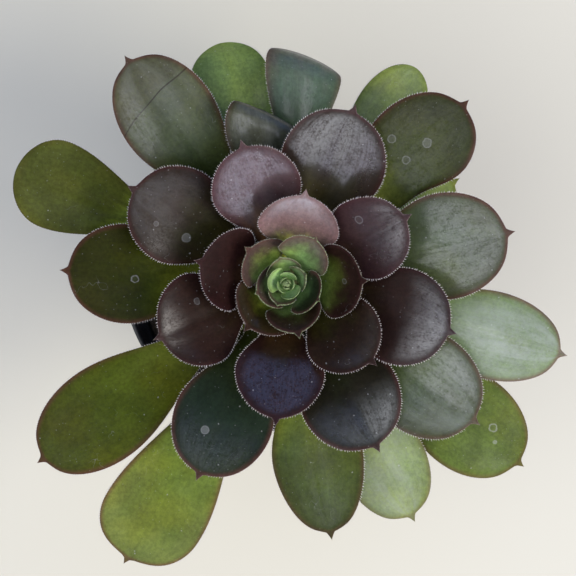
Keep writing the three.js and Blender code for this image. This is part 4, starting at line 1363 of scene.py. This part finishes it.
class AEONIUM_OT_stage(bpy.types.Operator):
    """Set the pale floor, the soft lights and the camera that looks straight down"""

    bl_idname = "aeonium.stage"
    bl_label = "Stage"

    def lamp(self, context, name, place, aim, size, power, tint):
        """A square area light at place, in metres, turned so that it shines at aim."""
        data = bpy.data.lights.new(name, "AREA")
        data.shape = "SQUARE"
        data.size = size
        data.energy = power
        data.color = tint
        lamp = bpy.data.objects.new(name, data)
        lamp.location = place
        way = np.array(aim) - np.array(place)
        lamp.rotation_euler = (
            math.atan2(math.hypot(way[0], way[1]), -way[2]),
            0.0,
            math.atan2(way[1], way[0]) - 0.5 * math.pi,
        )
        context.scene.collection.objects.link(lamp)

    def toward(self, w, way, glow):
        """How far a direction lies toward a glow, as a smoothstep of its scalar product with the aim."""
        product = w.node("VectorMath", dict(operation="DOT_PRODUCT"))
        w.put(way, product.inputs[0])
        product.inputs[1].default_value = glow.aim
        return w.ramp(product.outputs["Value"], glow.start, glow.full)

    def sky(self, scene, strength):
        """The room's light from all round, with each glow laid over those before it."""
        world = bpy.data.worlds.new("Soft room")
        scene.world = world
        world.use_nodes = True
        w = Wiring(world.node_tree)
        way = w.node("TexCoord").outputs["Generated"]
        tint = colour(ROOM_TINT)
        for glow in GLOWS:
            tint = w.blend(self.toward(w, way, glow), tint, colour(glow.tint))
        background = world.node_tree.nodes["Background"]
        w.put(tint, background.inputs["Color"])
        background.inputs["Strength"].default_value = strength

    def execute(self, context):
        scene, looks = context.scene, context.scene.aeonium_stage
        grid = np.linspace(-3000.0, 3000.0, 3)
        x, y = np.meshgrid(grid, grid, indexing="ij")
        points = np.stack([x, y, 0 * x], axis=-1).reshape(-1, 3)
        quads = np.array([[0, 3, 4, 1], [1, 4, 5, 2], [3, 6, 7, 4], [4, 7, 8, 5]])
        floor = build_mesh("floor", points, quads, np.zeros((0, 3), int))
        floor.data.materials.append(plain_material("pale_floor", looks.floor, 0.7))
        self.lamp(context, "key_light", KEY_PLACE, KEY_AIM, KEY_SIZE, looks.key, KEY_TINT)
        self.sky(scene, looks.sky)
        camera = bpy.data.cameras.new("camera")
        camera.sensor_width = SENSOR_WIDTH
        camera.lens = looks.lens
        camera.clip_start = 0.01
        eye = bpy.data.objects.new("camera", camera)
        eye.location = (looks.camera_x, looks.camera_y, looks.camera_height)
        scene.collection.objects.link(eye)
        scene.camera = eye
        scene.view_settings.view_transform = "Standard"
        return {"FINISHED"}


class AEONIUM_PT_parts(bpy.types.Panel):
    """The pieces of the potted aeonium, with their sizes and colours"""

    bl_idname = "AEONIUM_PT_parts"
    bl_label = "Potted Aeonium"
    bl_space_type = "VIEW_3D"
    bl_region_type = "UI"
    bl_category = "Aeonium"

    def draw(self, context):
        for operators, group in PIECES:
            box = self.layout.box()
            for operator in operators:
                box.operator(operator.bl_idname)
            settings = getattr(context.scene, group)
            for name in settings.bl_rna.properties.keys():
                if name not in ("rna_type", "name"):
                    box.prop(settings, name)


GROUPS = {
    "aeonium_pot": PotSizes,
    "aeonium_soil": SoilSizes,
    "aeonium_stem": StemSizes,
    "aeonium_leaves": LeafTones,
    "aeonium_stage": StageLooks,
}
LEAF_OPERATORS = (AEONIUM_OT_outer_leaves, AEONIUM_OT_ring_leaves, AEONIUM_OT_young_leaves, AEONIUM_OT_heart)
PIECES = [
    ((AEONIUM_OT_pot,), "aeonium_pot"),
    ((AEONIUM_OT_soil,), "aeonium_soil"),
    ((AEONIUM_OT_stem,), "aeonium_stem"),
    (LEAF_OPERATORS, "aeonium_leaves"),
    ((AEONIUM_OT_stage,), "aeonium_stage"),
]


def register():
    for name, group in GROUPS.items():
        bpy.utils.register_class(group)
        setattr(bpy.types.Scene, name, PointerProperty(type=group))
    for operators, _ in PIECES:
        for operator in operators:
            bpy.utils.register_class(operator)
    bpy.utils.register_class(AEONIUM_PT_parts)


def unregister():
    bpy.utils.unregister_class(AEONIUM_PT_parts)
    for operators, _ in PIECES:
        for operator in operators:
            bpy.utils.unregister_class(operator)
    for name, group in GROUPS.items():
        delattr(bpy.types.Scene, name)
        bpy.utils.unregister_class(group)


def main():
    register()
    bpy.ops.aeonium.stage()
    bpy.ops.aeonium.pot()
    bpy.ops.aeonium.soil()
    bpy.ops.aeonium.stem()
    bpy.ops.aeonium.outer_leaves()
    bpy.ops.aeonium.ring_leaves()
    bpy.ops.aeonium.young_leaves()
    bpy.ops.aeonium.heart()


if __name__ == "__main__":
    main()
